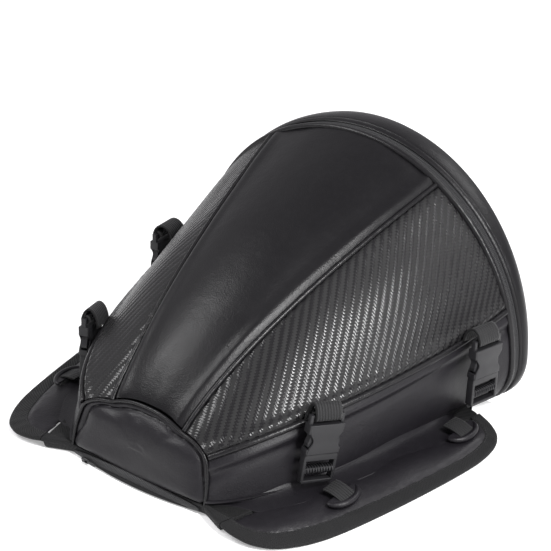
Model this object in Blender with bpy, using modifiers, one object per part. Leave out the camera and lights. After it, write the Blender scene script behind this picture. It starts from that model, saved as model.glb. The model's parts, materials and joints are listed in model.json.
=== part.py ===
"""A motorcycle tail bag: a hump-shaped shell of sewn panels with a D-shaped rear door, side wings and buckles.

Metres, +Z up. The long axis is Y: the low nose points to -Y, the door is at +Y, and X is across the bag.
Every place below is first given in the nose frame, whose y is 0 at the nose's base and whose z is 0 where
the shell's panels meet the padded base. The last step moves the whole assembly by SHIFT, so that the origin
is on the base's underside, under the middle of the bag.
"""

import math

import bmesh
import bpy
from mathutils import Matrix, Vector

# ---------------------------------------------------------------- driving dimensions
ASSEMBLY = "tail_bag"
BASE_DROP = 0.007  # how far the padded base and the wings reach below the shell
SHIFT = Vector((0, -0.150, BASE_DROP))

RIM_Y = 0.294  # plane of the rim, where the shell ends and the door begins
RIM_RADIUS = 0.179  # the D's round part
RIM_CENTRE_Z = 0.040
FLAT_HALF = 0.152  # half the D's flat bottom edge
UPPER_SEAM_ANGLE = math.radians(31.4)  # where the seams meet the rim, from the top
LOWER_SEAM_ANGLE = math.radians(72.6)

PANEL_THICKNESS = 0.003
LINER_INSET = 0.0064
LINER_THICKNESS = 0.001
BASE_THICKNESS = 0.0025
BOARD_THICKNESS = 0.0015
GAP = 0.0004

WELT_RADIUS = 0.0022
PIPING_RADIUS = 0.003
PIPING_INSET = 0.001  # how far the piping's centre lies inside the D's outline
ZIP_INSET = 0.003
ZIP_WIDTH = 0.004
ZIP_THICKNESS = 0.002

DOOR_FRONT_Y = RIM_Y + 0.012
DOOR_DEPTH_BOTTOM = 0.024  # from the rim plane to the rear piping
DOOR_DEPTH_GAIN = 0.018  # how much deeper the door is at its top
DOOR_HEIGHT = RIM_CENTRE_Z + RIM_RADIUS
DOOR_WALL_THICKNESS = 0.0025
DOOR_DOME = 0.0035
DOOR_HINGE = Vector((0, RIM_Y + 0.00765, 0))

WEBBING_WIDTH = 0.025
WEBBING_THICKNESS = 0.0022
BUCKLE_WIDTH = 0.033
BUCKLE_THICKNESS = 0.010
FEMALE_LENGTH = 0.031
MALE_LENGTH = 0.026
SLOT_HEIGHT = 0.0054
SLOT_DEPTHS = (0.0096, 0.0195)
BAR_RADIUS = 0.0016
PRONG_THICKNESS = 0.003

WING_THICKNESS = 0.0075
BINDING_THICKNESS = 0.004
BINDING_WIDTH = 0.021
WING_HINGE_FRONT = Vector((0.1015, -0.0125, 0))  # the wing folds about the line between these two points
WING_HINGE_REAR = Vector((0.1685, 0.2615, 0))

# The shell's feature lines on its +X half, from the nose to the rim, as Bezier control points.


def rim_point(angle, inset=0.0):
    """A point of the D's round part, at this angle from the top."""
    radius = RIM_RADIUS - inset
    return Vector((radius * math.sin(angle), RIM_Y, RIM_CENTRE_Z + radius * math.cos(angle)))


BASE_EDGE = (
    Vector((0.075, 0.000, 0)),
    Vector((0.130, 0.045, 0)),
    Vector((0.146, 0.190, 0)),
    Vector((FLAT_HALF, RIM_Y, 0)),
)
LOWER_SEAM = (
    Vector((0.069, 0.010, 0.040)),
    Vector((0.120, 0.046, 0.066)),
    Vector((0.158, 0.190, 0.069)),
    rim_point(LOWER_SEAM_ANGLE),
)
UPPER_SEAM = (
    Vector((0.040, 0.014, 0.0505)),
    Vector((0.047, 0.062, 0.103)),
    Vector((0.074, 0.185, 0.158)),
    rim_point(UPPER_SEAM_ANGLE),
)
TOP_LINE = (
    Vector((0, 0.016, 0.059)),
    Vector((0, 0.060, 0.122)),
    Vector((0, 0.185, 0.180)),
    rim_point(0.0),
)
FEATURE_LINES = (BASE_EDGE, LOWER_SEAM, UPPER_SEAM, TOP_LINE)
NOSE_BULGE = (0.002, 0.003, 0.003)  # how far each section stands out of its chord, at the nose
RIM_BULGE = (
    0.003,
    RIM_RADIUS * (1 - math.cos((LOWER_SEAM_ANGLE - UPPER_SEAM_ANGLE) / 2)),
    RIM_RADIUS * (1 - math.cos(UPPER_SEAM_ANGLE / 2)),
)
CORNER_START = 0.8  # share of the length where the lower band starts to curl under
NOSE_LEAN = 0.27  # the nose face's run back for its height

# name, side, share of the length where its tab is sewn in, how far out the buckle's bar is from the seam
# and how far above it, and the slant towards the nose in degrees
BUCKLES = (
    ("front_right", 1, 0.377, 0.015, 0.0085, 11.0),
    ("front_left", -1, 0.395, 0.015, 0.007, 8.0),
    ("rear_right", 1, 0.855, 0.018, 0.005, 3.0),
    ("rear_left", -1, 0.835, 0.021, 0.004, 3.0),
)
TAB_RISE = 0.008

# ---------------------------------------------------------------- materials
MATERIALS = {  # colour, roughness, metallic
    "smooth_leather": ((0.021, 0.020, 0.022), 0.38, 0.0),
    "carbon_leather": ((0.030, 0.029, 0.030), 0.32, 0.0),
    "piping": ((0.024, 0.023, 0.025), 0.34, 0.0),
    "webbing": ((0.012, 0.012, 0.013), 0.75, 0.0),
    "buckle_plastic": ((0.060, 0.060, 0.064), 0.50, 0.0),
    "zip_tape": ((0.014, 0.014, 0.015), 0.80, 0.0),
    "zip_metal": ((0.090, 0.090, 0.095), 0.35, 0.8),
    "lining": ((0.030, 0.030, 0.032), 0.70, 0.0),
    "stiffener": ((0.050, 0.050, 0.050), 0.60, 0.0),
}


def material(name):
    found = bpy.data.materials.get(name)
    if found:
        return found
    colour, roughness, metallic = MATERIALS[name]
    made = bpy.data.materials.new(name)
    made.use_nodes = True
    shader = made.node_tree.nodes["Principled BSDF"]
    shader.inputs["Base Color"].default_value = (*colour, 1)
    shader.inputs["Roughness"].default_value = roughness
    shader.inputs["Metallic"].default_value = metallic
    return made


# ---------------------------------------------------------------- helpers
def clear_scene():
    for obj in list(bpy.data.objects):
        bpy.data.objects.remove(obj)


def make_collection(name):
    made = bpy.data.collections.new(name)
    bpy.context.scene.collection.children.link(made)
    return made


clear_scene()
PARTS = make_collection(ASSEMBLY)
CUTTERS = make_collection(ASSEMBLY + "_cutters")


def add_object(name, data, material_name):
    obj = bpy.data.objects.new(name, data)
    data.materials.append(material(material_name))
    PARTS.objects.link(obj)
    return obj


def mesh_from_bmesh(name, bm):
    mesh = bpy.data.meshes.new(name)
    bm.to_mesh(mesh)
    bm.free()
    return mesh


def smooth(mesh, angle=35):
    mesh.shade_smooth()
    mesh.set_sharp_from_angle(angle=math.radians(angle))


def solidify(obj, thickness):
    """Thickens an open surface inwards, away from its normals."""
    modifier = obj.modifiers.new("thickness", "SOLIDIFY")
    modifier.thickness = thickness
    modifier.offset = -1
    modifier.use_even_offset = True


def sheet(name, rows, inside, thickness, material_name, wrap_rows=False, wrap_columns=False, fan=None):
    """A sewn sheet through a grid of points, thickened towards the point inside.

    The wraps close the grid on itself, and fan is a point that closes the last row.
    """
    bm = bmesh.new()
    grid = [[bm.verts.new(point) for point in row] for row in rows]
    row_count, column_count = len(grid), len(grid[0])
    for i in range(row_count if wrap_rows else row_count - 1):
        for j in range(column_count if wrap_columns else column_count - 1):
            this_row = grid[i]
            next_row = grid[(i + 1) % row_count]
            k = (j + 1) % column_count
            bm.faces.new((this_row[j], this_row[k], next_row[k], next_row[j]))
    if fan is not None:
        tip = bm.verts.new(fan)
        last = grid[-1]
        for j in range(column_count if wrap_columns else column_count - 1):
            bm.faces.new((last[j], last[(j + 1) % column_count], tip))
    bmesh.ops.recalc_face_normals(bm, faces=bm.faces)
    bm.normal_update()
    outwards = sum(f.normal.dot(f.calc_center_median() - inside) * f.calc_area() for f in bm.faces)
    if outwards < 0:
        bmesh.ops.reverse_faces(bm, faces=bm.faces)
    obj = add_object(name, mesh_from_bmesh(name, bm), material_name)
    smooth(obj.data)
    solidify(obj, thickness)
    return obj


def tube(name, points, radius, material_name, cyclic=False):
    """A welt or piping: a round cord along these points."""
    curve = bpy.data.curves.new(name, "CURVE")
    curve.dimensions = "3D"
    curve.bevel_depth = radius
    curve.bevel_resolution = 2
    curve.use_fill_caps = True
    spline = curve.splines.new("POLY")
    spline.points.add(len(points) - 1)
    for place, point in zip(spline.points, points):
        place.co = (*point, 1)
    spline.use_cyclic_u = cyclic
    return add_object(name, curve, material_name)


def flat_outline(name, outlines, thickness, material_name):
    """A flat piece in the XY plane, centred on it: the first outline, less the holes after it."""
    curve = bpy.data.curves.new(name, "CURVE")
    curve.dimensions = "2D"
    curve.fill_mode = "BOTH"
    curve.extrude = thickness / 2
    for outline in outlines:
        spline = curve.splines.new("POLY")
        spline.points.add(len(outline) - 1)
        for place, point in zip(spline.points, outline):
            place.co = (point[0], point[1], 0, 1)
        spline.use_cyclic_u = True
    return add_object(name, curve, material_name)


def as_mesh(obj):
    """The same object with its curve made a welded mesh, so that it can be cut or joined."""
    bpy.context.view_layer.update()
    graph = bpy.context.evaluated_depsgraph_get()
    mesh = bpy.data.meshes.new_from_object(obj.evaluated_get(graph))
    bm = bmesh.new()
    bm.from_mesh(mesh)
    bmesh.ops.remove_doubles(bm, verts=bm.verts, dist=1e-6)
    bm.to_mesh(mesh)
    bm.free()
    name = obj.name
    matrix = obj.matrix_world.copy()
    collection = obj.users_collection[0]
    bpy.data.objects.remove(obj)
    made = bpy.data.objects.new(name, mesh)
    collection.objects.link(made)
    made.matrix_world = matrix
    return made


def block_mesh(name, size, centre=(0, 0, 0), bevel=0.0, segments=2):
    """A box with rounded edges."""
    bm = bmesh.new()
    bmesh.ops.create_cube(bm, size=1, matrix=Matrix.Translation(centre) @ Matrix.Diagonal((*size, 1)))
    if bevel:
        bmesh.ops.bevel(
            bm, geom=bm.edges[:], offset=bevel, segments=segments, profile=0.5, affect="EDGES"
        )
    return mesh_from_bmesh(name, bm)


def block(name, size, centre, material_name, bevel=0.0, segments=2):
    obj = add_object(name, block_mesh(name, size, centre, bevel, segments), material_name)
    smooth(obj.data)
    return obj


def rod_mesh(name, radius, length, centre):
    """A round bar along X."""
    bm = bmesh.new()
    turn = Matrix.Translation(centre) @ Matrix.Rotation(math.pi / 2, 4, "Y")
    bmesh.ops.create_cone(
        bm, cap_ends=True, segments=12, radius1=radius, radius2=radius, depth=length, matrix=turn
    )
    return mesh_from_bmesh(name, bm)


def boolean(obj, meshes, operation):
    """Cuts these meshes from an object, or joins them to it; the tools stay in the cutters' collection."""
    for index, mesh in enumerate(meshes):
        tool = bpy.data.objects.new(f"{obj.name}_{operation.lower()}_{index}", mesh)
        CUTTERS.objects.link(tool)
        tool.hide_render = True
        tool.display_type = "WIRE"
        modifier = obj.modifiers.new(f"{operation.lower()}_{index}", "BOOLEAN")
        modifier.operation = operation
        modifier.object = tool
        modifier.solver = "EXACT"


def place(objects, matrix):
    """Puts objects that were built in their own frame where they belong, with the cutters they use."""
    for obj in objects:
        for modifier in obj.modifiers:
            if modifier.type == "BOOLEAN":
                modifier.object.matrix_world = matrix
        obj.matrix_world = matrix


def set_origin(obj, point):
    """Moves an object's origin to a point on its joint's axis; the shape stays where it is."""
    obj.data.transform(Matrix.Translation(-point))
    obj.location = obj.location + point


# ---------------------------------------------------------------- the shell's surface
def bezier(points, t):
    a, b, c, d = points
    s = 1 - t
    return s**3 * a + 3 * s * s * t * b + 3 * s * t * t * c + t**3 * d


def smoothstep(t):
    t = min(max(t, 0.0), 1.0)
    return t * t * (3 - 2 * t)


def rim_corner(share):
    """The lower band's end on the rim: up the D's rounded corner, then its round part to the seam."""
    if share < 0.5:
        turn = math.pi * (0.5 - share)
        return Vector(
            (
                FLAT_HALF + (RIM_RADIUS - FLAT_HALF) * math.cos(turn),
                RIM_Y,
                RIM_CENTRE_Z * (1 - math.sin(turn)),
            )
        )
    angle = math.pi / 2 + (2 * share - 1) * (LOWER_SEAM_ANGLE - math.pi / 2)
    return rim_point(angle)


def along_chord(point, start, end):
    """A point's place along a chord in the XZ plane and out of it, as shares of the chord's length."""
    chord = Vector((end.x - start.x, end.z - start.z))
    offset = Vector((point.x - start.x, point.z - start.z))
    length_squared = chord.length_squared
    along = offset.dot(chord) / length_squared
    out = (offset.x * chord.y - offset.y * chord.x) / length_squared
    return along, out


def section_point(section, u, share):
    """A point of one panel: u from nose to rim, share from its lower seam to its upper one."""
    start = bezier(FEATURE_LINES[section], u)
    end = bezier(FEATURE_LINES[section + 1], u)
    chord = Vector((end.x - start.x, end.z - start.z))
    bulge = NOSE_BULGE[section] + (RIM_BULGE[section] - NOSE_BULGE[section]) * u
    along, out = share, 4 * share * (1 - share) * bulge / chord.length
    if section == 0:
        corner = smoothstep((u - CORNER_START) / (1 - CORNER_START)) ** 2
        rim_along, rim_out = along_chord(rim_corner(share), BASE_EDGE[3], LOWER_SEAM[3])
        along += corner * (rim_along - along)
        out += corner * (rim_out - out)
    return Vector(
        (
            start.x + chord.x * along + chord.y * out,
            start.y + (end.y - start.y) * share,
            start.z + chord.y * along - chord.x * out,
        )
    )


def shell_normal(section, u, share):
    step = 1e-3
    along = section_point(section, min(u + step, 1), share) - section_point(section, max(u - step, 0), share)
    up = section_point(section, u, min(share + step, 1)) - section_point(section, u, max(share - step, 0))
    return along.cross(up).normalized()


def mirrored(point):
    return Vector((-point.x, point.y, point.z))


def on_side(point, side):
    return point if side > 0 else mirrored(point)


FRONT_TRIM = 0.0128  # shares of the length left for the piping at each end
REAR_TRIM = 0.0145
INSIDE = Vector((0, 0.170, 0.060))


def lengthwise(count, front=FRONT_TRIM, rear=REAR_TRIM):
    return [front + (1 - front - rear) * i / (count - 1) for i in range(count)]


def section_row(section, u, count, lower_clear, upper_clear):
    """Points across one panel, keeping clear of the welts at its edges."""
    start = bezier(FEATURE_LINES[section], u)
    end = bezier(FEATURE_LINES[section + 1], u)
    length = math.hypot(end.x - start.x, end.z - start.z)
    first = lower_clear / length
    last = 1 - upper_clear / length
    return [section_point(section, u, first + (last - first) * i / (count - 1)) for i in range(count)]


WELT_CLEAR = WELT_RADIUS + GAP
BAND_FOOT = BASE_THICKNESS + 0.0011


def band_row(u, count):
    """Points across the lower band, from just above the base panel to the lower seam's welt."""
    low, high = 0.0, 0.5
    for _ in range(24):
        middle = (low + high) / 2
        if section_point(0, u, middle).z < BAND_FOOT:
            low = middle
        else:
            high = middle
    start = bezier(BASE_EDGE, u)
    end = bezier(LOWER_SEAM, u)
    last = 1 - WELT_CLEAR / math.hypot(end.x - start.x, end.z - start.z)
    return [section_point(0, u, high + (last - high) * i / (count - 1)) for i in range(count)]


def make_shell_panels():
    rows = []
    for u in lengthwise(13):
        half = section_row(2, u, 6, WELT_CLEAR, 0)
        rows.append(half[:-1] + [half[-1]] + [mirrored(point) for point in reversed(half[:-1])])
    sheet("top_panel", rows, INSIDE, PANEL_THICKNESS, "smooth_leather")
    for side, label in ((1, "right"), (-1, "left")):
        rows = [
            [on_side(p, side) for p in section_row(1, u, 6, WELT_CLEAR, WELT_CLEAR)] for u in lengthwise(12)
        ]
        sheet(f"side_panel_{label}", rows, INSIDE, PANEL_THICKNESS, "carbon_leather")
        rows = [[on_side(p, side) for p in band_row(u, 7)] for u in lengthwise(14)]
        sheet(f"lower_band_{label}", rows, INSIDE, PANEL_THICKNESS, "smooth_leather")


def make_welts():
    """The rolled welts on the four lengthwise seams."""
    for line, kind in ((LOWER_SEAM, "lower"), (UPPER_SEAM, "upper")):
        for side, label in ((1, "right"), (-1, "left")):
            points = [on_side(bezier(line, u), side) for u in lengthwise(18, 0.024, 0.0125)]
            tube(f"{kind}_seam_welt_{label}", points, WELT_RADIUS, "piping")


# ---------------------------------------------------------------- nose
def nose_outline(count):
    """The nose face's edge, from the base at +X over the top to the base at -X."""
    half = []
    for section in range(3):
        half += [section_point(section, 0, i / count) for i in range(count)]
    half.append(section_point(2, 0, 1))
    return half + [mirrored(point) for point in reversed(half[:-1])]


NOSE_ZIP_TOP = 0.0036
NOSE_MIDDLE = Vector((0, NOSE_LEAN * 0.028, 0.028))
NOSE_STRIP_THICKNESS = 0.0028
NOSE_STRIP_Z = -0.0024


def make_nose():
    edge = nose_outline(6)
    path = [Vector((p.x, p.y, max(p.z, BASE_THICKNESS + WELT_RADIUS + GAP))) for p in edge]
    tube("nose_piping", path, WELT_RADIUS, "piping")
    clear = WELT_RADIUS + 0.0027
    inner = [NOSE_MIDDLE + (p - NOSE_MIDDLE) * (1 - clear / (p - NOSE_MIDDLE).length) for p in edge]
    upper = [p for p in inner if p.z > NOSE_ZIP_TOP + 0.002]
    corner_x = upper[0].x + 0.4 * (upper[0].z - NOSE_ZIP_TOP)
    inner = [Vector((corner_x, 0, NOSE_ZIP_TOP))] + upper + [Vector((-corner_x, 0, NOSE_ZIP_TOP))]
    rows = []
    for share in (1.0, 0.72, 0.4):
        row = []
        for point in inner:
            spot = NOSE_MIDDLE + (point - NOSE_MIDDLE) * share
            spot.y = NOSE_LEAN * spot.z - 0.004 * (1 - share * share)
            row.append(spot)
        rows.append(row)
    tip = Vector((0, NOSE_MIDDLE.y - 0.004, NOSE_MIDDLE.z))
    behind = Vector((0, 0.060, 0.030))
    sheet("nose_panel", rows, behind, 0.0025, "smooth_leather", wrap_columns=True, fan=tip)
    strip_y = -0.0012 - GAP - NOSE_STRIP_THICKNESS / 2
    size = (0.142, NOSE_STRIP_THICKNESS, 0.0070)
    block("nose_pocket_zip", size, (0, strip_y, NOSE_STRIP_Z), "zip_tape", 0.0009, 1)
    slider = block("nose_zip_slider", (0.009, 0.0034, 0.0060), (0, 0, 0), "zip_metal", 0.0010, 2)
    pull = block_mesh("nose_zip_pull", (0.018, 0.0016, 0.0042), (0.0125, -0.0012, 0), 0.0006, 1)
    boolean(slider, [pull], "UNION")
    slider_y = strip_y - NOSE_STRIP_THICKNESS / 2 - GAP - 0.0017
    place([slider], Matrix.Translation((-0.062, slider_y, NOSE_STRIP_Z)))


# ---------------------------------------------------------------- base
def wing_hinge_x(y):
    share = (y - WING_HINGE_FRONT.y) / (WING_HINGE_REAR.y - WING_HINGE_FRONT.y)
    return WING_HINGE_FRONT.x + share * (WING_HINGE_REAR.x - WING_HINGE_FRONT.x)


def make_base():
    """The padded base, which reaches out to the wings' fold lines, and the board that stiffens it."""
    edge = GAP / 2
    half = [
        (0.0750, -0.0012),
        (WING_HINGE_FRONT.x - edge, WING_HINGE_FRONT.y),
        (WING_HINGE_REAR.x - edge, WING_HINGE_REAR.y),
        (0.150, 0.266),
        (0.150, RIM_Y - 0.0034),
    ]
    outline = half + [(-x, y) for x, y in reversed(half)]
    base = flat_outline("base_panel", [outline], BASE_THICKNESS + BASE_DROP, "smooth_leather")
    base.location.z = (BASE_THICKNESS - BASE_DROP) / 2
    side_clear = 0.010
    half = [(bezier(BASE_EDGE, u).x - side_clear, bezier(BASE_EDGE, u).y) for u in lengthwise(10, 0.05, 0.03)]
    outline = half + [(-x, y) for x, y in reversed(half)]
    board = flat_outline("base_board", [outline], BOARD_THICKNESS, "stiffener")
    board.location.z = BASE_THICKNESS + GAP + BOARD_THICKNESS / 2


FLOOR_Z = BASE_THICKNESS + BOARD_THICKNESS + 2 * GAP + LINER_THICKNESS


def liner_ring(u, inset):
    """The lining's section at u: over the shell's inside and back across the floor."""
    half = []
    for section, count in ((0, 5), (1, 3), (2, 3)):
        for i in range(count):
            share = (i + 0.5) / count if section else (i + 0.6) / count
            spot = section_point(section, u, share) - inset * shell_normal(section, u, share)
            half.append(Vector((spot.x, spot.y, max(spot.z, FLOOR_Z))))
    top = section_point(2, u, 1)
    half.append(Vector((0, top.y, top.z - inset)))
    level = half[-1].y
    half = [Vector((p.x, p.y + 0.35 * (level - p.y) * (1 - u), p.z)) for p in half]
    corner = Vector((half[0].x, half[0].y, FLOOR_Z))
    floor = [Vector((corner.x * share, corner.y, FLOOR_Z)) for share in (-1 / 3, 1 / 3)]
    half = [corner] + half[1:]
    return half + [mirrored(p) for p in reversed(half[:-1])] + floor


def make_liner():
    places = [0.07, 0.18, 0.32, 0.46, 0.60, 0.72, 0.80, 0.86, 0.91, 0.95, 0.982]
    rings = [liner_ring(u, LINER_INSET) for u in reversed(places)]
    middle = sum(rings[-1], Vector()) / len(rings[-1])
    sheet("liner", rings, INSIDE, LINER_THICKNESS, "lining", wrap_columns=True, fan=middle)


# ---------------------------------------------------------------- rim, zip and door
def d_outline(inset, bottom, arc=26, corner=4, flat=0):
    """(x, z) round the D, from the flat edge's +X end over the top to its -X end, then along the flat edge."""
    radius = RIM_RADIUS - inset
    half = []
    for i in range(corner):
        turn = math.pi / 2 * (1 - i / corner)
        x = FLAT_HALF + (radius - FLAT_HALF) * math.cos(turn)
        z = RIM_CENTRE_Z - (RIM_CENTRE_Z - bottom) * math.sin(turn)
        half.append((x, z))
    points = list(half)
    for i in range(arc + 1):
        angle = math.pi / 2 - math.pi * i / arc
        points.append((radius * math.sin(angle), RIM_CENTRE_Z + radius * math.cos(angle)))
    points += [(-x, z) for x, z in reversed(half)]
    points += [(-FLAT_HALF + 2 * FLAT_HALF * i / (flat + 1), bottom) for i in range(1, flat + 1)]
    return points


def door_rear_y(z):
    return RIM_Y + DOOR_DEPTH_BOTTOM + DOOR_DEPTH_GAIN * (z / DOOR_HEIGHT) ** 2


DOOR_INSIDE = Vector((0, RIM_Y + 0.015, 0.090))


def make_rim():
    """The rim's piping and the two halves of the main zip."""
    outline = d_outline(PIPING_INSET, PIPING_RADIUS + GAP)
    tube("rim_piping", [Vector((x, RIM_Y, z)) for x, z in outline], PIPING_RADIUS, "piping")
    front = RIM_Y + PIPING_RADIUS + GAP
    for name, start in (("main_zip_bag_side", front), ("main_zip_door_side", front + ZIP_WIDTH + GAP)):
        rows = [
            [Vector((x, start, z)), Vector((x, start + ZIP_WIDTH, z))]
            for x, z in d_outline(ZIP_INSET, ZIP_INSET)
        ]
        sheet(name, rows, DOOR_INSIDE, ZIP_THICKNESS, "zip_tape")
    strip_end = FLAT_HALF - 0.010
    strip = block("hinge_strip", (2 * strip_end, 0.0135, 0.0012), (0, 0, 0), "lining", 0.0003, 1)
    strip.location = (0, DOOR_HINGE.y - 0.0002, 0.0032)


def door_wall_point(x, z, share):
    rear = door_rear_y(z) - PIPING_RADIUS - GAP
    crown = 0.0022 * 4 * share * (1 - share) * smoothstep(z / RIM_CENTRE_Z)
    out = Vector((x, 0, z - RIM_CENTRE_Z)).normalized() * crown
    return Vector((x, DOOR_FRONT_Y + (rear - DOOR_FRONT_Y) * share, z)) + out


def door_disc(inset, bottom, offset, dome, shares):
    """Rings of a D-shaped sheet that lies this far inside the door's rear surface."""
    centre = Vector((0, 0, 0.095))
    outline = d_outline(inset, bottom, arc=20, corner=3, flat=3)
    rows = []
    for share in shares:
        row = []
        for x, z in outline:
            spot = centre + (Vector((x, 0, z)) - centre) * share
            spot.y = door_rear_y(spot.z) - offset + dome * (1 - share * share)
            row.append(spot)
        rows.append(row)
    return rows, Vector((0, door_rear_y(centre.z) - offset + dome, centre.z))


BOARD_OFFSET = 0.0034
LINING_OFFSET = 0.0060


def make_door():
    rows = [
        [door_wall_point(x, z, share) for share in (0, 0.25, 0.5, 0.75, 1)] for x, z in d_outline(0, 0, flat=3)
    ]
    wall = sheet("door_wall", rows, DOOR_INSIDE, DOOR_WALL_THICKNESS, "smooth_leather", wrap_rows=True)
    path = [
        Vector((x, door_rear_y(z), z)) for x, z in d_outline(PIPING_INSET, PIPING_RADIUS + GAP, flat=5)
    ]
    piping = tube("door_piping", path, PIPING_RADIUS, "piping", cyclic=True)
    clear = PIPING_INSET + PIPING_RADIUS + 2 * GAP
    bottom = 2 * PIPING_RADIUS + 2 * GAP
    rows, tip = door_disc(clear, bottom, 0.0, DOOR_DOME, (1, 0.8, 0.5, 0.25))
    panel = sheet("door_panel", rows, DOOR_INSIDE, 0.0025, "smooth_leather", wrap_columns=True, fan=tip)
    rows, tip = door_disc(clear + 0.002, bottom + 0.002, BOARD_OFFSET, 0, (1, 0.5))
    board = sheet("door_board", rows, DOOR_INSIDE, 0.0018, "stiffener", wrap_columns=True, fan=tip)
    rows, tip = door_disc(clear, bottom, LINING_OFFSET, 0, (1, 0.6))
    lining = sheet("door_lining", rows, DOOR_INSIDE, 0.0008, "lining", wrap_columns=True, fan=tip)
    for obj in (wall, piping, panel, board, lining, PARTS.objects["main_zip_door_side"]):
        obj_origin_to_hinge(obj)


def obj_origin_to_hinge(obj):
    set_origin(obj, DOOR_HINGE)


POCKET_START = Vector((-0.075, 0, 0.125))
POCKET_END = Vector((0.105, 0, 0.085))


def make_door_pocket():
    """The phone pocket's slanted zip on the lining, with its slider at the closed end."""
    lining_inside = LINING_OFFSET + 0.0008
    ends = []
    for end in (POCKET_START, POCKET_END):
        ends.append(Vector((end.x, door_rear_y(end.z) - lining_inside, end.z)))
    run = ends[1] - ends[0]
    x_axis = run.normalized()
    z_axis = (Vector((0, 0, 1)) - x_axis * x_axis.z).normalized()
    y_axis = z_axis.cross(x_axis)
    turn = Matrix((x_axis, y_axis, z_axis)).transposed().to_4x4()
    strip = block("door_pocket_zip", (run.length, 0.0014, 0.010), (0, 0, 0), "zip_tape", 0.0004, 1)
    strip.matrix_world = Matrix.Translation((ends[0] + ends[1]) / 2 + y_axis * -0.0018) @ turn
    slider = block("door_pocket_slider", (0.009, 0.0030, 0.0066), (0, 0, 0), "zip_metal", 0.0009, 1)
    pull = block_mesh("door_pocket_pull", (0.017, 0.0012, 0.0045), (0.012, -0.0012, 0), 0.0005, 1)
    boolean(slider, [pull], "UNION")
    place([slider], Matrix.Translation(ends[0] + x_axis * 0.008 - y_axis * 0.0044) @ turn)


HANDLE_Z = 0.163
HANDLE_HALF = 0.062
HANDLE_REACH = 0.023
HANDLE_THICKNESS = 0.0055


def make_handle():
    """The carry handle: an arch of padded webbing, sewn to the door at both feet."""
    outer, inner = [], []
    steps = 12
    for i in range(steps + 1):
        x = HANDLE_HALF * (2 * i / steps - 1)
        rise = smoothstep((1 - abs(x) / HANDLE_HALF) / 0.42)
        outer.append((x, HANDLE_THICKNESS * 0.6 + HANDLE_REACH * rise))
        if abs(x) < HANDLE_HALF * 0.80:
            inner.append((x, max(HANDLE_REACH * rise - HANDLE_THICKNESS * 0.4, 0.0)))
    outline = [(-HANDLE_HALF, 0)] + [p for p in inner if p[1] > 0] + [(HANDLE_HALF, 0)] + outer[::-1]
    handle = flat_outline("carry_handle", [outline], 0.022, "webbing")
    slope = 2 * DOOR_DEPTH_GAIN * HANDLE_Z / DOOR_HEIGHT**2
    handle.rotation_euler.x = -math.atan(slope)
    handle.location = (0, door_rear_y(HANDLE_Z) + DOOR_DOME + GAP, HANDLE_Z)


# ---------------------------------------------------------------- main zip slider and stay straps
SLIDER_ANGLE = math.radians(-87)
SLIDER_Y = RIM_Y + PIPING_RADIUS + GAP + ZIP_WIDTH + GAP / 2


def make_main_slider():
    radius = RIM_RADIUS - ZIP_INSET + GAP + 0.0025
    turn = Matrix.Rotation(SLIDER_ANGLE, 4, "Y")
    centre = Vector((0, SLIDER_Y, RIM_CENTRE_Z))
    frame = Matrix.Translation(centre) @ turn
    slider = block("main_zip_slider", (0.013, 0.0076, 0.005), (0, 0, radius), "zip_metal", 0.0012, 2)
    place([slider], frame)
    pull_radius = radius + 0.0025 + 0.0019
    pull = block("main_zip_pull", (0.026, 0.0056, 0.0014), (-0.0115, 0, 0), "zip_metal", 0.0005, 2)
    hang = Matrix.Rotation(-math.pi / 2 - SLIDER_ANGLE, 4, "Y")
    place([pull], frame @ Matrix.Translation((0, 0, pull_radius)) @ hang)


STAY_HALF_X = 0.108
STAY_BAG = (RIM_Y - 0.012, 0.153)
STAY_DOOR_Z = 0.070
STAY_OPEN_ANGLE = math.radians(92)


def stay_path(count):
    """(y, z) of a stay strap at rest.

    Each point turns about the door's hinge by its own share of the opening angle when the door opens, and
    the heights are those that then put the strap on one straight line.
    """
    door_y = door_rear_y(STAY_DOOR_Z) - LINING_OFFSET - 0.0032
    radius_bag = STAY_BAG[1]
    points = []
    for i in range(count):
        share = i / (count - 1)
        angle = smoothstep(share) * STAY_OPEN_ANGLE
        top = radius_bag * STAY_DOOR_Z * math.sin(STAY_OPEN_ANGLE)
        low = STAY_DOOR_Z * math.sin(STAY_OPEN_ANGLE - angle) + radius_bag * math.sin(angle)
        points.append((STAY_BAG[0] + (door_y - STAY_BAG[0]) * share, top / low))
    return points


def make_stay_straps():
    for side, label in ((1, "right"), (-1, "left")):
        rows = [
            [Vector((side * STAY_HALF_X + across, y, z)) for across in (-WEBBING_WIDTH / 2, WEBBING_WIDTH / 2)]
            for y, z in stay_path(9)
        ]
        sheet(f"stay_strap_{label}", rows, Vector((0, -1, 0)), 0.0012, "webbing")


# ---------------------------------------------------------------- wings
WING_EDGE = (  # the +X wing's outer edge in plan, from its front corner to its rear one
    (0.1015, -0.0125),
    (0.1150, -0.0150),
    (0.1360, -0.0125),
    (0.1560, 0.0020),
    (0.1750, 0.0380),
    (0.1920, 0.1080),
    (0.2050, 0.1850),
    (0.2060, 0.2220),
    (0.1990, 0.2430),
    (0.1850, 0.2550),
    (0.1685, 0.2615),
)
WING_DROOP = math.radians(6.8)  # the slope at which the wings lie on the ground


def catmull_rom(points, per_span):
    """A smooth curve through these points."""
    padded = [points[0]] + list(points) + [points[-1]]
    out = []
    for i in range(len(points) - 1):
        a, b, c, d = (Vector(p) for p in padded[i : i + 4])
        for j in range(per_span):
            t = j / per_span
            out.append(
                0.5 * (2 * b + (c - a) * t + (2 * a - 5 * b + 4 * c - d) * t * t + (3 * b - a - 3 * c + d) * t**3)
            )
    out.append(Vector(points[-1]))
    return out


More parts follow.
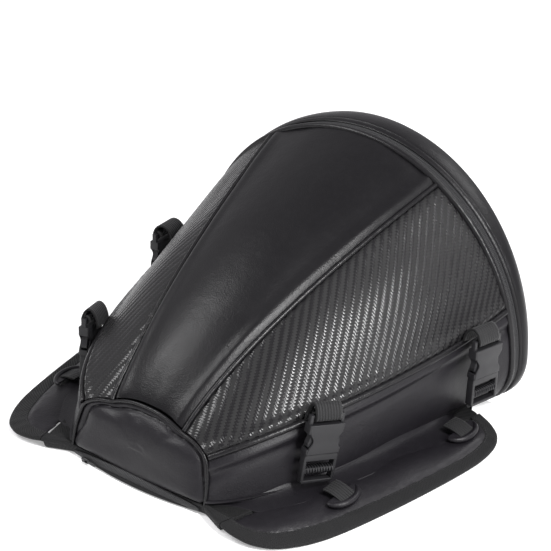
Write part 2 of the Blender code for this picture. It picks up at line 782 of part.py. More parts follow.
def inset_edge(edge, distance):
    """The same edge moved inwards, with its ends on the fold line."""
    moved = []
    for i, point in enumerate(edge):
        before = edge[max(i - 1, 0)]
        after = edge[min(i + 1, len(edge) - 1)]
        along = (after - before).normalized()
        moved.append(point + Vector((-along.y, along.x)) * distance)
    kept = [p for p in moved if p.x > wing_hinge_x(p.y) + GAP]
    first_y = kept[0].y
    last_y = kept[-1].y
    start = Vector((wing_hinge_x(first_y) + GAP / 2, first_y))
    end = Vector((wing_hinge_x(last_y) + GAP / 2, last_y))
    return [start] + kept + [end]


TIE_PLACES = {"front": Vector((0.152, 0.078)), "rear": Vector((0.173, 0.220))}
TIE_RADIUS = 0.019


def tie_outline():
    """A half-moon in plan, its straight edge towards the bag."""
    steps = 10
    arc = [math.pi * (i / steps - 0.5) for i in range(steps + 1)]
    return [(TIE_RADIUS * 0.75 * math.cos(a), TIE_RADIUS * math.sin(a)) for a in arc]


def make_wing(side, label):
    edge = [p for p in catmull_rom(WING_EDGE, 3)]
    edge[0].x += GAP / 2
    edge[-1].x += GAP / 2
    inner = inset_edge(edge, BINDING_WIDTH)
    pad_edge = inset_edge(edge, BINDING_WIDTH + GAP)
    hinge = on_side(WING_HINGE_REAR, side) - on_side(WING_HINGE_FRONT, side)
    pieces = []
    outline = [(side * p.x, p.y) for p in edge + inner[::-1]]
    binding = flat_outline(f"wing_binding_{label}", [outline], BINDING_THICKNESS, "zip_tape")
    binding.location.z = BINDING_THICKNESS / 2
    pieces.append(binding)
    pad = flat_outline(f"wing_pad_{label}", [[(side * p.x, p.y) for p in pad_edge]], WING_THICKNESS, "smooth_leather")
    pad.location.z = WING_THICKNESS / 2
    pieces.append(pad)
    for spot, centre in TIE_PLACES.items():
        patch = flat_outline(f"wing_tie_{spot}_{label}", [tie_outline()], 0.003, "smooth_leather")
        patch = as_mesh(patch)
        loop = block_mesh("tie_loop", (0.016, 0.020, 0.0026), (0.010, 0, 0.0016), 0.0006, 1)
        boolean(patch, [loop], "UNION")
        turn = Matrix.Rotation(0 if side > 0 else math.pi, 4, "Z")
        lean = Matrix.Rotation(-math.atan2(hinge.x, hinge.y), 4, "Z")
        height = WING_THICKNESS + GAP + 0.0015
        place([patch], Matrix.Translation((side * centre.x, centre.y, height)) @ lean @ turn)
        pieces.append(patch)
    foot = Matrix.Translation(on_side(WING_HINGE_FRONT, side))
    droop = foot @ Matrix.Rotation(side * WING_DROOP, 4, hinge) @ foot.inverted()
    bpy.context.view_layer.update()
    for piece in pieces:
        place([piece], droop @ piece.matrix_world)


# ---------------------------------------------------------------- webbing tabs and buckles
def tab_frame(side, u):
    """The seam's point at u, and the level direction straight out from it."""
    spot = on_side(bezier(LOWER_SEAM, u), side)
    ahead = on_side(bezier(LOWER_SEAM, u + 0.01), side)
    along = Vector((ahead.x - spot.x, ahead.y - spot.y, 0)).normalized()
    outward = Vector((along.y, -along.x, 0))
    if outward.x * side < 0:
        outward = -outward
    return spot, outward


def ribbon_outline(path, thickness, ring_centre, ring_radius):
    """The outline of a ribbon along a path whose last point is a ring's centre, with the ring round it."""
    left, right = [], []
    for i, point in enumerate(path[:-1]):
        before = path[max(i - 1, 0)]
        after = path[i + 1]
        along = (after - before).normalized()
        across = Vector((-along.y, along.x)) * thickness / 2
        left.append(point + across)
        right.append(point - across)
    start = right[-1] - ring_centre
    end = left[-1] - ring_centre
    start_angle = math.atan2(start.y, start.x)
    end_angle = math.atan2(end.y, end.x)
    if end_angle < start_angle:
        end_angle += 2 * math.pi
    sweep = end_angle - start_angle
    direction = 1
    if sweep < math.pi:
        sweep = 2 * math.pi - sweep
        direction = -1
    ring = []
    steps = 12
    for i in range(steps + 1):
        angle = start_angle + direction * sweep * i / steps
        ring.append(ring_centre + Vector((math.cos(angle), math.sin(angle))) * ring_radius)
    return [tuple(p) for p in right] + [tuple(p) for p in ring] + [tuple(p) for p in reversed(left)]


def make_tab(name, reach, bar_height):
    """A folded webbing tab: out of the seam, over, and down round the buckle's bar."""
    start = Vector((WELT_RADIUS + 0.0012, 0.0012))
    bar = Vector((reach, bar_height))
    top = max(TAB_RISE, bar_height + TAB_RISE)
    control = (start, start + Vector((0.002, top)), Vector((bar.x, top + 0.006)), bar)
    path = [bezier(control, i / 9) for i in range(9)]
    path = [p for p in path if (p - bar).length > BAR_RADIUS + 0.0045] + [bar]
    ring_radius = BAR_RADIUS + GAP + 0.0018
    hole_radius = BAR_RADIUS + GAP
    hole = [
        (bar.x + hole_radius * math.cos(a), bar.y + hole_radius * math.sin(a))
        for a in (math.tau * i / 12 for i in range(12))
    ]
    outline = ribbon_outline(path, WEBBING_THICKNESS, bar, ring_radius)
    about_bar = [[(x - bar.x, y - bar.y) for x, y in shape] for shape in (outline, hole)]
    return flat_outline(name, about_bar, WEBBING_WIDTH - 0.001, "webbing")


def make_female(name):
    """The socket half. In its own frame X is across, Z up and Y out; its bar is on the X axis."""
    half = BUCKLE_WIDTH / 2
    body_top = -0.0062
    body_length = FEMALE_LENGTH - 0.0062 + BAR_RADIUS
    size = (BUCKLE_WIDTH, BUCKLE_THICKNESS, body_length)
    body = block(name, size, (0, 0, body_top - body_length / 2), "buckle_plastic", 0.0022, 2)
    ears = []
    for side in (1, -1):
        ear = block_mesh("ear", (0.0032, 0.0050, 0.0125), (side * (half - 0.0020), 0, -0.0040), 0.0010, 1)
        ears.append(ear)
    ears.append(rod_mesh("bar", BAR_RADIUS, BUCKLE_WIDTH - 0.0045, (0, 0, 0)))
    boolean(body, ears, "UNION")
    socket_depth = body_length - 0.0042
    bottom = body_top - body_length
    socket = block_mesh("socket", (0.0272, 0.0064, socket_depth + 0.004), (0, 0, bottom + socket_depth / 2 - 0.002))
    windows = block_mesh("windows", (BUCKLE_WIDTH + 0.004, 0.0066, 0.0135), (0, 0, bottom + 0.0122))
    boolean(body, [socket, windows], "DIFFERENCE")
    return body


FEMALE_BOTTOM = -0.0062 - (FEMALE_LENGTH - 0.0062 + BAR_RADIUS)
PRONG_ROOT = Vector((0.0095, 0, FEMALE_BOTTOM + 0.0012))


def make_male(name):
    """The prong half's base, with its guide tongue and an empty ladder lock for the strap."""
    top = FEMALE_BOTTOM - GAP
    centre = top - MALE_LENGTH / 2
    body = block(name, (BUCKLE_WIDTH - 0.001, 0.0078, MALE_LENGTH), (0, 0, centre), "buckle_plastic", 0.0020, 2)
    tongue = block_mesh("tongue", (0.0060, 0.0046, 0.0240), (0, 0, top + 0.0100), 0.0010, 1)
    boolean(body, [tongue], "UNION")
    slots = [block_mesh("slot", (0.0262, 0.0200, SLOT_HEIGHT), (0, 0, top - depth)) for depth in SLOT_DEPTHS]
    boolean(body, slots, "DIFFERENCE")
    return body


def make_prong(name, hand):
    """One spring arm of the prong half: it runs up inside the socket, and its shoulder fills the window."""
    outline = [
        (0.0072, FEMALE_BOTTOM + 0.0003),
        (0.0104, FEMALE_BOTTOM + 0.0003),
        (0.0120, FEMALE_BOTTOM + 0.0062),
        (0.0150, FEMALE_BOTTOM + 0.0072),
        (0.0152, FEMALE_BOTTOM + 0.0100),
        (0.0126, FEMALE_BOTTOM + 0.0185),
        (0.0104, FEMALE_BOTTOM + 0.0205),
        (0.0088, FEMALE_BOTTOM + 0.0195),
        (0.0094, FEMALE_BOTTOM + 0.0080),
    ]
    pivot = Vector((0.0088, FEMALE_BOTTOM + 0.0012))
    shape = [(hand * (x - pivot.x), z - pivot.y) for x, z in outline]
    prong = flat_outline(name, [shape], 0.0056, "buckle_plastic")
    stand = Matrix.Rotation(math.pi / 2, 4, "X")
    return prong, Matrix.Translation((hand * pivot.x, 0, pivot.y)) @ stand


def make_buckle(label, side, u, reach, bar_height, slant):
    """One buckle on its tab, in a frame whose X is across the buckle, Y outward and Z up its length."""
    seam, outward = tab_frame(side, u)
    bar = seam + outward * reach + Vector((0, 0, bar_height))
    across = outward.cross(Vector((0, 0, 1)))
    frame = Matrix((across, outward, Vector((0, 0, 1)))).transposed().to_4x4()
    towards_nose = 1 if across.y > 0 else -1
    matrix = Matrix.Translation(bar) @ frame @ Matrix.Rotation(math.radians(slant) * towards_nose, 4, "Y")
    tab = make_tab(f"webbing_tab_{label}", reach, bar_height)
    profile_turn = Matrix(((0, 0, 1), (1, 0, 0), (0, 1, 0))).to_4x4()
    place([tab], matrix @ profile_turn)
    female = make_female(f"buckle_female_{label}")
    male = make_male(f"buckle_male_{label}")
    place([female, male], matrix)
    for hand, hand_label in ((1, "a"), (-1, "b")):
        prong, seat = make_prong(f"buckle_prong_{label}_{hand_label}", hand)
        place([prong], matrix @ seat)


# ---------------------------------------------------------------- assembly
make_shell_panels()
make_welts()
make_nose()
make_base()
make_liner()
make_rim()
make_door()
make_door_pocket()
make_handle()
make_main_slider()
make_stay_straps()
for wing_side, wing_label in ((1, "right"), (-1, "left")):
    make_wing(wing_side, wing_label)
for buckle in BUCKLES:
    make_buckle(*buckle)
for every in bpy.data.objects:
    every.location += SHIFT
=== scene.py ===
"""The looks of the tail bag: soft sewn panels, welts, padding, webbing, moulded buckles and their materials.

Metres, +Z up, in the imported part's frame. As in the part's source, the shell is described in a nose frame,
whose y is 0 at the nose's base and whose z is 0 where the panels meet the padded base; SHIFT moves it home.
"""

import json
import math

import bmesh
import bpy
import numpy as np
from mathutils import Matrix, Vector


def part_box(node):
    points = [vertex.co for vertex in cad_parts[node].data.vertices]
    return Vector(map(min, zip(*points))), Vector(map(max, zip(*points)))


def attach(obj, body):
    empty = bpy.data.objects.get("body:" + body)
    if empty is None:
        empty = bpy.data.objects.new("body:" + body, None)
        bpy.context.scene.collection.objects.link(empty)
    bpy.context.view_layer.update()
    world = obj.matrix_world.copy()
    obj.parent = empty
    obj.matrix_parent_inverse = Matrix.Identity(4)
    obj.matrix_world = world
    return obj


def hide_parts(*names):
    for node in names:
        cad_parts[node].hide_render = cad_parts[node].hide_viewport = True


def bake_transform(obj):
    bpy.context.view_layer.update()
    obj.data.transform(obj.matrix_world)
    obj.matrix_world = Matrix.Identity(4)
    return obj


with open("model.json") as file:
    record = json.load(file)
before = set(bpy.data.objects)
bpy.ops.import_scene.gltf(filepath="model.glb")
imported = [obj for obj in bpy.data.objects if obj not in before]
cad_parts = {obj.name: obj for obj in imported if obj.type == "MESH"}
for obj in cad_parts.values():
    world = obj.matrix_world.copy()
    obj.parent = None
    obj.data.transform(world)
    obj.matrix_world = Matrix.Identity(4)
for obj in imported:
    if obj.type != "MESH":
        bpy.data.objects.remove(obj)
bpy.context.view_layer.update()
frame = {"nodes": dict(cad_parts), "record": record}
NODES = frame["nodes"]
SHIFT = np.array([0.0, -0.150, 0.007])
SIDES = ((1, "right"), (-1, "left"))
UPRIGHT = Matrix.Rotation(math.pi / 2, 4, "X")
SLIDER_NODES = ("nose_zip_slider", "main_zip_slider", "main_zip_pull")
NODE_BOXES = {name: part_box(name) for name in SLIDER_NODES}

# ---------------------------------------------------------------- dimensions shared with the part
RIM_Y = 0.294
RIM_RADIUS = 0.179
RIM_CENTRE_Z = 0.040
FLAT_HALF = 0.152
UPPER_SEAM_ANGLE = math.radians(31.4)
LOWER_SEAM_ANGLE = math.radians(72.6)
NOSE_LEAN = 0.27
NOSE_STRIP_Z = -0.0024
HINGE_FRONT = np.array([0.1015, -0.0125, 0.0])
HINGE_REAR = np.array([0.1685, 0.2615, 0.0])
WING_DROOP = math.radians(6.8)
DOOR_HEIGHT = RIM_CENTRE_Z + RIM_RADIUS
DOOR_FRONT_Y = RIM_Y + 0.012
DOOR_DEPTH = 0.024
DOOR_LEAN = 0.018


def rim_point(angle):
    """A point on the rim's round part, this far round from its top."""
    return (RIM_RADIUS * math.sin(angle), RIM_Y, RIM_CENTRE_Z + RIM_RADIUS * math.cos(angle))


FEATURE_LINES = np.array(
    [
        [(0.075, 0.000, 0), (0.130, 0.045, 0), (0.146, 0.190, 0), (FLAT_HALF, RIM_Y, 0)],
        [(0.069, 0.010, 0.040), (0.120, 0.046, 0.066), (0.158, 0.190, 0.069), rim_point(LOWER_SEAM_ANGLE)],
        [(0.040, 0.014, 0.0505), (0.047, 0.062, 0.103), (0.074, 0.185, 0.158), rim_point(UPPER_SEAM_ANGLE)],
        [(0, 0.016, 0.059), (0, 0.060, 0.122), (0, 0.185, 0.180), rim_point(0.0)],
    ]
)
NOSE_BULGE = (0.002, 0.003, 0.003)
RIM_BULGE = (
    0.003,
    RIM_RADIUS * (1 - math.cos((LOWER_SEAM_ANGLE - UPPER_SEAM_ANGLE) / 2)),
    RIM_RADIUS * (1 - math.cos(UPPER_SEAM_ANGLE / 2)),
)
CORNER_START = 0.8

# The soft pieces' sheet thicknesses, and how many metres one whole step of u stands for near each seam.
PANEL_SHEET = 0.0025
WALL_SHEET = 0.0024
PADDED_SHEET = 0.0022
THIN_SHEET = 0.0012
PATCH_SHEET = 0.0016
RIM_SCALE = 0.30
TOP_NOSE_SCALE = 0.13
BAND_NOSE_SCALE = 0.20
WELD = 1e-6


# ---------------------------------------------------------------- shell surface
def bezier(points, t):
    """Points of a cubic curve, at these shares of its way."""
    t = np.asarray(t, float)[..., None]
    a, b, c, d = np.asarray(points, float)
    s = 1 - t
    return s**3 * a + 3 * s * s * t * b + 3 * s * t * t * c + t**3 * d


def smoothstep(t):
    """A soft step from 0 to 1."""
    t = np.clip(t, 0, 1)
    return t * t * (3 - 2 * t)


def near(distance, width):
    """1 at a seam, falling away over this width."""
    return np.exp(-np.abs(distance) / width)


def hump(distance, centre, width):
    """1 at this distance from a seam, falling away to both sides of it."""
    return np.exp(-(((distance - centre) / width) ** 2))


def ripple(a, b, seed=0):
    """Smooth, uneven waves between about -1 and 1 over two lengths in radians."""
    total = np.zeros(np.broadcast(a, b).shape)
    for k in range(1, 5):
        turn = 2.4 * k + 1.7 * seed
        first = a * (0.7 + 0.31 * k) * math.cos(turn)
        second = b * (0.6 + 0.37 * k) * math.sin(turn)
        total += np.sin(first + second + turn * k)
    return total / 3


def rim_corner(share):
    """The lower band's end on the rim: up the D's rounded corner, then its round part to the seam."""
    turn = math.pi * (0.5 - np.clip(share, 0, 0.5))
    x_low = FLAT_HALF + (RIM_RADIUS - FLAT_HALF) * np.cos(turn)
    z_low = RIM_CENTRE_Z * (1 - np.sin(turn))
    angle = math.pi / 2 + (2 * np.clip(share, 0.5, 1) - 1) * (LOWER_SEAM_ANGLE - math.pi / 2)
    low = share < 0.5
    x = np.where(low, x_low, RIM_RADIUS * np.sin(angle))
    z = np.where(low, z_low, RIM_CENTRE_Z + RIM_RADIUS * np.cos(angle))
    return x, z


def grid_of(*parts):
    """A grid of points, from parts that each vary along its rows, its columns, both or neither."""
    return np.stack(np.broadcast_arrays(*parts), -1)


def chord_length(section, u):
    """A panel's straight width from its lower seam to its upper."""
    span = bezier(FEATURE_LINES[section + 1], u) - bezier(FEATURE_LINES[section], u)
    return np.hypot(span[..., 0], span[..., 2])


def shell(section, u, share):
    """Points of one panel's plain surface: u runs from the nose to the rim, share up between its seams."""
    u, share = np.broadcast_arrays(np.asarray(u, float), np.asarray(share, float))
    start = bezier(FEATURE_LINES[section], u)
    end = bezier(FEATURE_LINES[section + 1], u)
    cx, cz = end[..., 0] - start[..., 0], end[..., 2] - start[..., 2]
    length = np.hypot(cx, cz)
    bulge = NOSE_BULGE[section] + (RIM_BULGE[section] - NOSE_BULGE[section]) * u
    along, out = share, 4 * share * (1 - share) * bulge / length
    if section == 0:
        x, z = rim_corner(share)
        base, seam = FEATURE_LINES[0][3], FEATURE_LINES[1][3]
        rx, rz = seam[0] - base[0], seam[2] - base[2]
        square = rx * rx + rz * rz
        ox, oz = x - base[0], z - base[2]
        corner = smoothstep((u - CORNER_START) / (1 - CORNER_START)) ** 2
        along = along + corner * ((ox * rx + oz * rz) / square - along)
        out = out + corner * ((ox * rz - oz * rx) / square - out)
    x = start[..., 0] + cx * along + cz * out
    y = start[..., 1] + (end[..., 1] - start[..., 1]) * share
    z = start[..., 2] + cz * along - cx * out
    return np.stack([x, y, z], -1)


def grid_normals(points):
    """The outward direction at each point of a grid."""
    across = np.cross(np.gradient(points, axis=0), np.gradient(points, axis=1))
    return across / np.linalg.norm(across, axis=-1, keepdims=True)


def arc_lengths(points, axis):
    """How far along its row, or its column, each point of a grid lies."""
    steps = np.linalg.norm(np.diff(points, axis=axis), axis=-1)
    start = np.zeros_like(np.take(steps, [0], axis=axis))
    return np.cumsum(np.concatenate([start, steps], axis=axis), axis=axis)


def run_lengths(path):
    """How far along a path each of its points lies."""
    return np.concatenate([[0], np.cumsum(np.linalg.norm(np.diff(path, axis=0), axis=1))])


def evenly_spaced(path, count, endpoint=True):
    """The same path with this many points, evenly spaced."""
    steps = run_lengths(path)
    even = np.linspace(0, steps[-1], count, endpoint=endpoint)
    return np.stack([np.interp(even, steps, column) for column in path.T], -1)


def inward_directions(along):
    """The directions square to a plan path's own, which point into the piece that it goes round."""
    along /= np.linalg.norm(along, axis=1, keepdims=True)
    return np.stack([-along[:, 1], along[:, 0]], -1)


# ---------------------------------------------------------------- mesh helpers
def link(name, data):
    """A new object in the scene."""
    obj = bpy.data.objects.new(name, data)
    bpy.context.scene.collection.objects.link(obj)
    return obj


def smooth(mesh, angle=40):
    """Smooth shading, but for edges sharper than this angle in degrees."""
    mesh.shade_smooth()
    mesh.set_sharp_from_angle(angle=math.radians(angle))


def mend(mesh, weld=0.0, fill=False, recalc=True, face_y=0):
    """Welds points, fills open ends and turns the faces out, on an open sheet towards +Y or -Y."""
    bm = bmesh.new()
    bm.from_mesh(mesh)
    if weld:
        bmesh.ops.remove_doubles(bm, verts=bm.verts, dist=weld)
    if fill:
        bmesh.ops.holes_fill(bm, edges=[e for e in bm.edges if e.is_boundary], sides=0)
    if recalc:
        bmesh.ops.recalc_face_normals(bm, faces=bm.faces)
    if face_y * sum(f.normal.y for f in bm.faces) < 0:
        bmesh.ops.reverse_faces(bm, faces=bm.faces)
    bm.to_mesh(mesh)
    bm.free()


def evaluated_mesh(obj):
    """A new mesh of the object as it shows, with its modifiers or its curve's thickness."""
    bpy.context.view_layer.update()
    return bpy.data.meshes.new_from_object(obj.evaluated_get(bpy.context.evaluated_depsgraph_get()))


def mesh_points(mesh):
    """A mesh's vertices as rows."""
    return np.array([v.co for v in mesh.vertices])


def set_points(mesh, points):
    """Moves a mesh's vertices to these rows."""
    mesh.vertices.foreach_set("co", points.astype(np.float32).ravel())


def grid_piece(name, points, wrap_columns=False, uv=None, home=True):
    """An open sheet through a grid of points, with a UV map in metres along its rows and columns."""
    rows, columns = points.shape[:2]
    flat = points.reshape(-1, 3) + (SHIFT if home else 0)
    index = np.arange(rows * columns).reshape(rows, columns)
    if wrap_columns:
        index = np.concatenate([index, index[:, :1]], axis=1)
    quads = np.stack([index[:-1, :-1], index[1:, :-1], index[1:, 1:], index[:-1, 1:]], -1).reshape(-1, 4)
    mesh = bpy.data.meshes.new(name)
    mesh.from_pydata(flat.tolist(), [], quads.tolist())
    if uv is None:
        uv = np.stack([arc_lengths(points, 0), arc_lengths(points, 1)], -1)
    if wrap_columns:
        uv = np.concatenate([uv, uv[:, :1]], axis=1)
    corners = np.stack([uv[:-1, :-1], uv[1:, :-1], uv[1:, 1:], uv[:-1, 1:]], 2)
    layer = mesh.uv_layers.new(name="UVMap")
    layer.data.foreach_set("uv", corners.reshape(-1).astype(np.float32))
    obj = link(name, mesh)
    smooth(mesh)
    return obj


def thicken(obj, thickness, rounded=True):
    """Thickens a sheet inwards, with a rounded edge."""
    modifier = obj.modifiers.new("thickness", "SOLIDIFY")
    modifier.thickness = thickness
    modifier.offset = -1
    if rounded:
        edge = obj.modifiers.new("edge", "BEVEL")
        edge.width = thickness * 0.35
        edge.segments = 2
        edge.limit_method = "ANGLE"
        edge.angle_limit = math.radians(50)
    return obj


def tube_mesh(path, radius, cyclic=False, sides=12, flatten=1.0, up=None):
    """Points of a tube along a path, as a grid whose rows follow the path."""
    path = np.asarray(path, float)
    if cyclic:
        ahead, behind = np.roll(path, -1, 0), np.roll(path, 1, 0)
    else:
        ahead, behind = np.vstack([path[1:], path[-1:]]), np.vstack([path[:1], path[:-1]])
    along = ahead - behind
    along /= np.linalg.norm(along, axis=1, keepdims=True)
    guide = np.array([0, 0, 1.0]) if up is None else np.asarray(up, float)
    guide = np.broadcast_to(guide, path.shape)
    side = np.cross(along, guide)
    side /= np.linalg.norm(side, axis=1, keepdims=True)
    top = np.cross(side, along)
    turn = np.arange(sides) * 2 * math.pi / sides
    radius = np.broadcast_to(radius, len(path))[:, None, None]
    ring = np.cos(turn)[None, :, None] * side[:, None] + flatten * np.sin(turn)[None, :, None] * top[:, None]
    return path[:, None] + radius * ring


def tube(name, path, radius, cyclic=False, sides=12, flatten=1.0, up=None, home=True):
    """A closed tube along a path, with one radius or one for each point."""
    points = tube_mesh(path, radius, cyclic, sides, flatten, up)
    if cyclic:
        points = np.concatenate([points, points[:1]], axis=0)
    obj = grid_piece(name, points, wrap_columns=True, home=home)
    mend(obj.data, weld=WELD / 10 if cyclic else 0.0, fill=not cyclic)
    smooth(obj.data, 60)
    return obj


def stitches(name, paths, length=0.0022, gap=0.0012, width=0.00032):
    """Rows of thread stitches, each a small rounded bar, as one mesh. A path comes with its normals."""
    verts, faces = [], []
    profile = [(-1, 0.35), (-0.55, 1), (0.55, 1), (1, 0.35)]
    sides, flatness, lift, ahead = 6, 0.8, 0.2, 1e-4
    for path, normals in paths:
        path, normals = np.asarray(path, float), np.asarray(normals, float)
        steps = run_lengths(path)
        count = int((steps[-1] - length) / (length + gap))
        for i in range(max(count, 0)):
            middle = (i + 0.5) * (length + gap)
            centre = np.array([np.interp(middle, steps, path[:, k]) for k in range(3)])
            tip = np.array([np.interp(middle + ahead, steps, path[:, k]) for k in range(3)])
            up = np.array([np.interp(middle, steps, normals[:, k]) for k in range(3)])
            up /= np.linalg.norm(up)
            along = tip - centre
            along /= np.linalg.norm(along)
            side = np.cross(up, along)
            first = len(verts)
            for place, size in profile:
                for a in range(sides):
                    turn = a * 2 * math.pi / sides
                    out = math.cos(turn) * side + flatness * math.sin(turn) * up
                    verts.append(centre + along * place * length / 2 + out * width * size + up * width * lift)
            for row in range(first, first + 3 * sides, sides):
                for a in range(sides):
                    b = (a + 1) % sides
                    faces.append((row + a, row + b, row + sides + b, row + sides + a))
            faces.append(tuple(first + a for a in reversed(range(sides))))
            faces.append(tuple(first + 3 * sides + a for a in range(sides)))
    mesh = bpy.data.meshes.new(name)
    mesh.from_pydata((np.array(verts) + SHIFT).tolist(), [], faces)
    mesh.shade_smooth()
    return link(name, mesh)


def prism(name, outlines, depth, bevel, segments=3, matrix=None):
    """A flat outline with holes, thickened both ways about its plane, with rounded edges."""
    curve = bpy.data.curves.new(name, "CURVE")
    curve.dimensions = "2D"
    curve.fill_mode = "BOTH"
    curve.extrude = depth / 2 - bevel
    curve.bevel_depth = bevel
    curve.bevel_resolution = segments
    curve.offset = -bevel
    for outline in outlines:
        spline = curve.splines.new("POLY")
        spline.points.add(len(outline) - 1)
        for place, point in zip(spline.points, outline):
            place.co = (point[0], point[1], 0, 1)
        spline.use_cyclic_u = True
    obj = link(name, curve)
    mesh = evaluated_mesh(obj)
    bpy.data.objects.remove(obj)
    mend(mesh, weld=WELD, recalc=False)
    mesh.name = name
    if matrix is not None:
        mesh.transform(matrix)
    smooth(mesh, 35)
    return link(name, mesh)


def rounded_box(half_x, half_y, radius):
    """A rectangle's outline with round corners."""
    outline = []
    steps = 5
    for quarter, (x, y) in enumerate(((1, 1), (-1, 1), (-1, -1), (1, -1))):
        for step in range(steps + 1):
            turn = (quarter + step / steps) * math.pi / 2
            px = x * (half_x - radius) + radius * math.cos(turn)
            outline.append((px, y * (half_y - radius) + radius * math.sin(turn)))
    return outline


def joined(name, pieces):
    """Merges pieces into one mesh."""
    bm = bmesh.new()
    for piece in pieces:
        bm.from_mesh(piece.data)
        bpy.data.objects.remove(piece)
    mesh = bpy.data.meshes.new(name)
    bm.to_mesh(mesh)
    bm.free()
    smooth(mesh, 35)
    return link(name, mesh)


def finish_piece(obj, body, material, slot, *nodes):
    """Puts a piece on its body, gives it its material and hides the CAD nodes that it stands for."""
    obj.data.materials.clear()
    obj.data.materials.append(material)
    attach(obj, body)
    if nodes:
        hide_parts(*nodes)
    return obj


def finish_bending_piece(obj, body, start, end, material, slot, *nodes):
    """Gives a piece its material, bakes its placement into its mesh and hides the CAD nodes that it stands
    for.
    """
    obj.data.materials.append(material)
    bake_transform(obj)
    if nodes:
        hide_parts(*nodes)


# ---------------------------------------------------------------- materials
def tint(colour, factor, more=0.0):
    """A lighter or darker version of a colour."""
    return tuple(c * factor + more for c in colour)


class Shader:
    """Builds a Principled material's node tree with few words."""

    def __init__(self, name):
        self.material = bpy.data.materials.new(name)
        self.material.use_nodes = True
        self.tree = self.material.node_tree
        self.surface = self.tree.nodes["Principled BSDF"]

    def node(self, kind, **inputs):
        """A node whose inputs are values or other nodes' outputs."""
        made = self.tree.nodes.new(kind)
        for key, value in inputs.items():
            key = key.replace("_", " ")
            if isinstance(value, bpy.types.NodeSocket):
                self.tree.links.new(value, made.inputs[key])
            else:
                made.inputs[key].default_value = value
        return made

    def math(self, operation, a, b=0.0, c=0.0):
        """The output of one step of arithmetic."""
        made = self.tree.nodes.new("ShaderNodeMath")
        made.operation = operation
        for socket, value in zip(made.inputs, (a, b, c)):
            if isinstance(value, bpy.types.NodeSocket):
                self.tree.links.new(value, socket)
            else:
                socket.default_value = value
        return made.outputs[0]

    def coordinates(self, kind="Object"):
        """A point's place on its object, or on the piece's UV map."""
        return self.tree.nodes.new("ShaderNodeTexCoord").outputs[kind]

    def lengths(self):
        """How far along and across its own sheet a point lies, in metres."""
        split = self.node("ShaderNodeSeparateXYZ", Vector=self.coordinates("UV"))
        return split.outputs["X"], split.outputs["Y"]

    def wave(self, value, factor):
        """The sine of a value times this factor."""
        return self.math("SINE", self.math("MULTIPLY", value, factor))

    def noise(self, scale, detail=2.0, roughness=0.5):
        """Smooth random values, this many of them to a metre."""
        inputs = {"Scale": scale, "Detail": detail, "Roughness": roughness}
        return self.node("ShaderNodeTexNoise", Vector=self.coordinates(), **inputs).outputs["Fac"]

    def range(self, value, low, high, new_low, new_high):
        """A value's range stretched on to another, and cut off at its ends."""
        made = self.tree.nodes.new("ShaderNodeMapRange")
        self.tree.links.new(value, made.inputs["Value"])
        for key, number in zip(("From Min", "From Max", "To Min", "To Max"), (low, high, new_low, new_high)):
            made.inputs[key].default_value = number
        return made.outputs["Result"]

    def mix(self, factor, first, second):
        """A colour between two."""
        made = self.tree.nodes.new("ShaderNodeMix")
        made.data_type = "RGBA"
        self.tree.links.new(factor, made.inputs["Factor"])
        for name, colour in (("A", first), ("B", second)):
            socket = [s for s in made.inputs if s.name == name and s.type == "RGBA"][0]
            if isinstance(colour, bpy.types.NodeSocket):
                self.tree.links.new(colour, socket)
            else:
                socket.default_value = (*colour, 1)
        return [s for s in made.outputs if s.type == "RGBA"][0]

    def bumps(self, *layers):
        """Bump layers, each a height and its depth in metres, one on top of another."""
        normal = None
        for height, depth in layers:
            made = self.node("ShaderNodeBump", Height=height, Strength=1.0, Distance=depth)
            if normal is not None:
                self.tree.links.new(normal, made.inputs["Normal"])
            normal = made.outputs["Normal"]
        self.tree.links.new(normal, self.surface.inputs["Normal"])

    def set(self, **values):
        """The surface's own values."""
        for key, value in values.items():
            socket = self.surface.inputs[key.replace("_", " ")]
            if isinstance(value, bpy.types.NodeSocket):
                self.tree.links.new(value, socket)
            else:
                socket.default_value = value


def leather(name, colour, low_roughness, high_roughness, wrinkle=0.0006):
    """Coated leather-look fabric: fine pebble grain, faint creases and handled, slightly uneven gloss."""
    s = Shader(name)
    pebbles = s.node("ShaderNodeTexVoronoi", Vector=s.coordinates(), Scale=900.0, Randomness=1.0)
    grain = s.math("MULTIPLY_ADD", s.noise(420.0, 3.0, 0.6), 0.7, pebbles.outputs["Distance"])
    creases = s.noise(38.0, 3.0, 0.55)
    s.bumps((creases, wrinkle), (grain, 0.00011))
    blotches = s.noise(14.0, 3.0, 0.6)
    dust = s.noise(160.0, 4.0, 0.7)
    s.set(
        Base_Color=s.mix(s.range(dust, 0.45, 0.8, 0.0, 0.6), colour, tint(colour, 1.4, 0.0015)),
        Roughness=s.range(blotches, 0.3, 0.7, low_roughness, high_roughness),
        Specular_IOR_Level=0.24,
    )
    return s.material


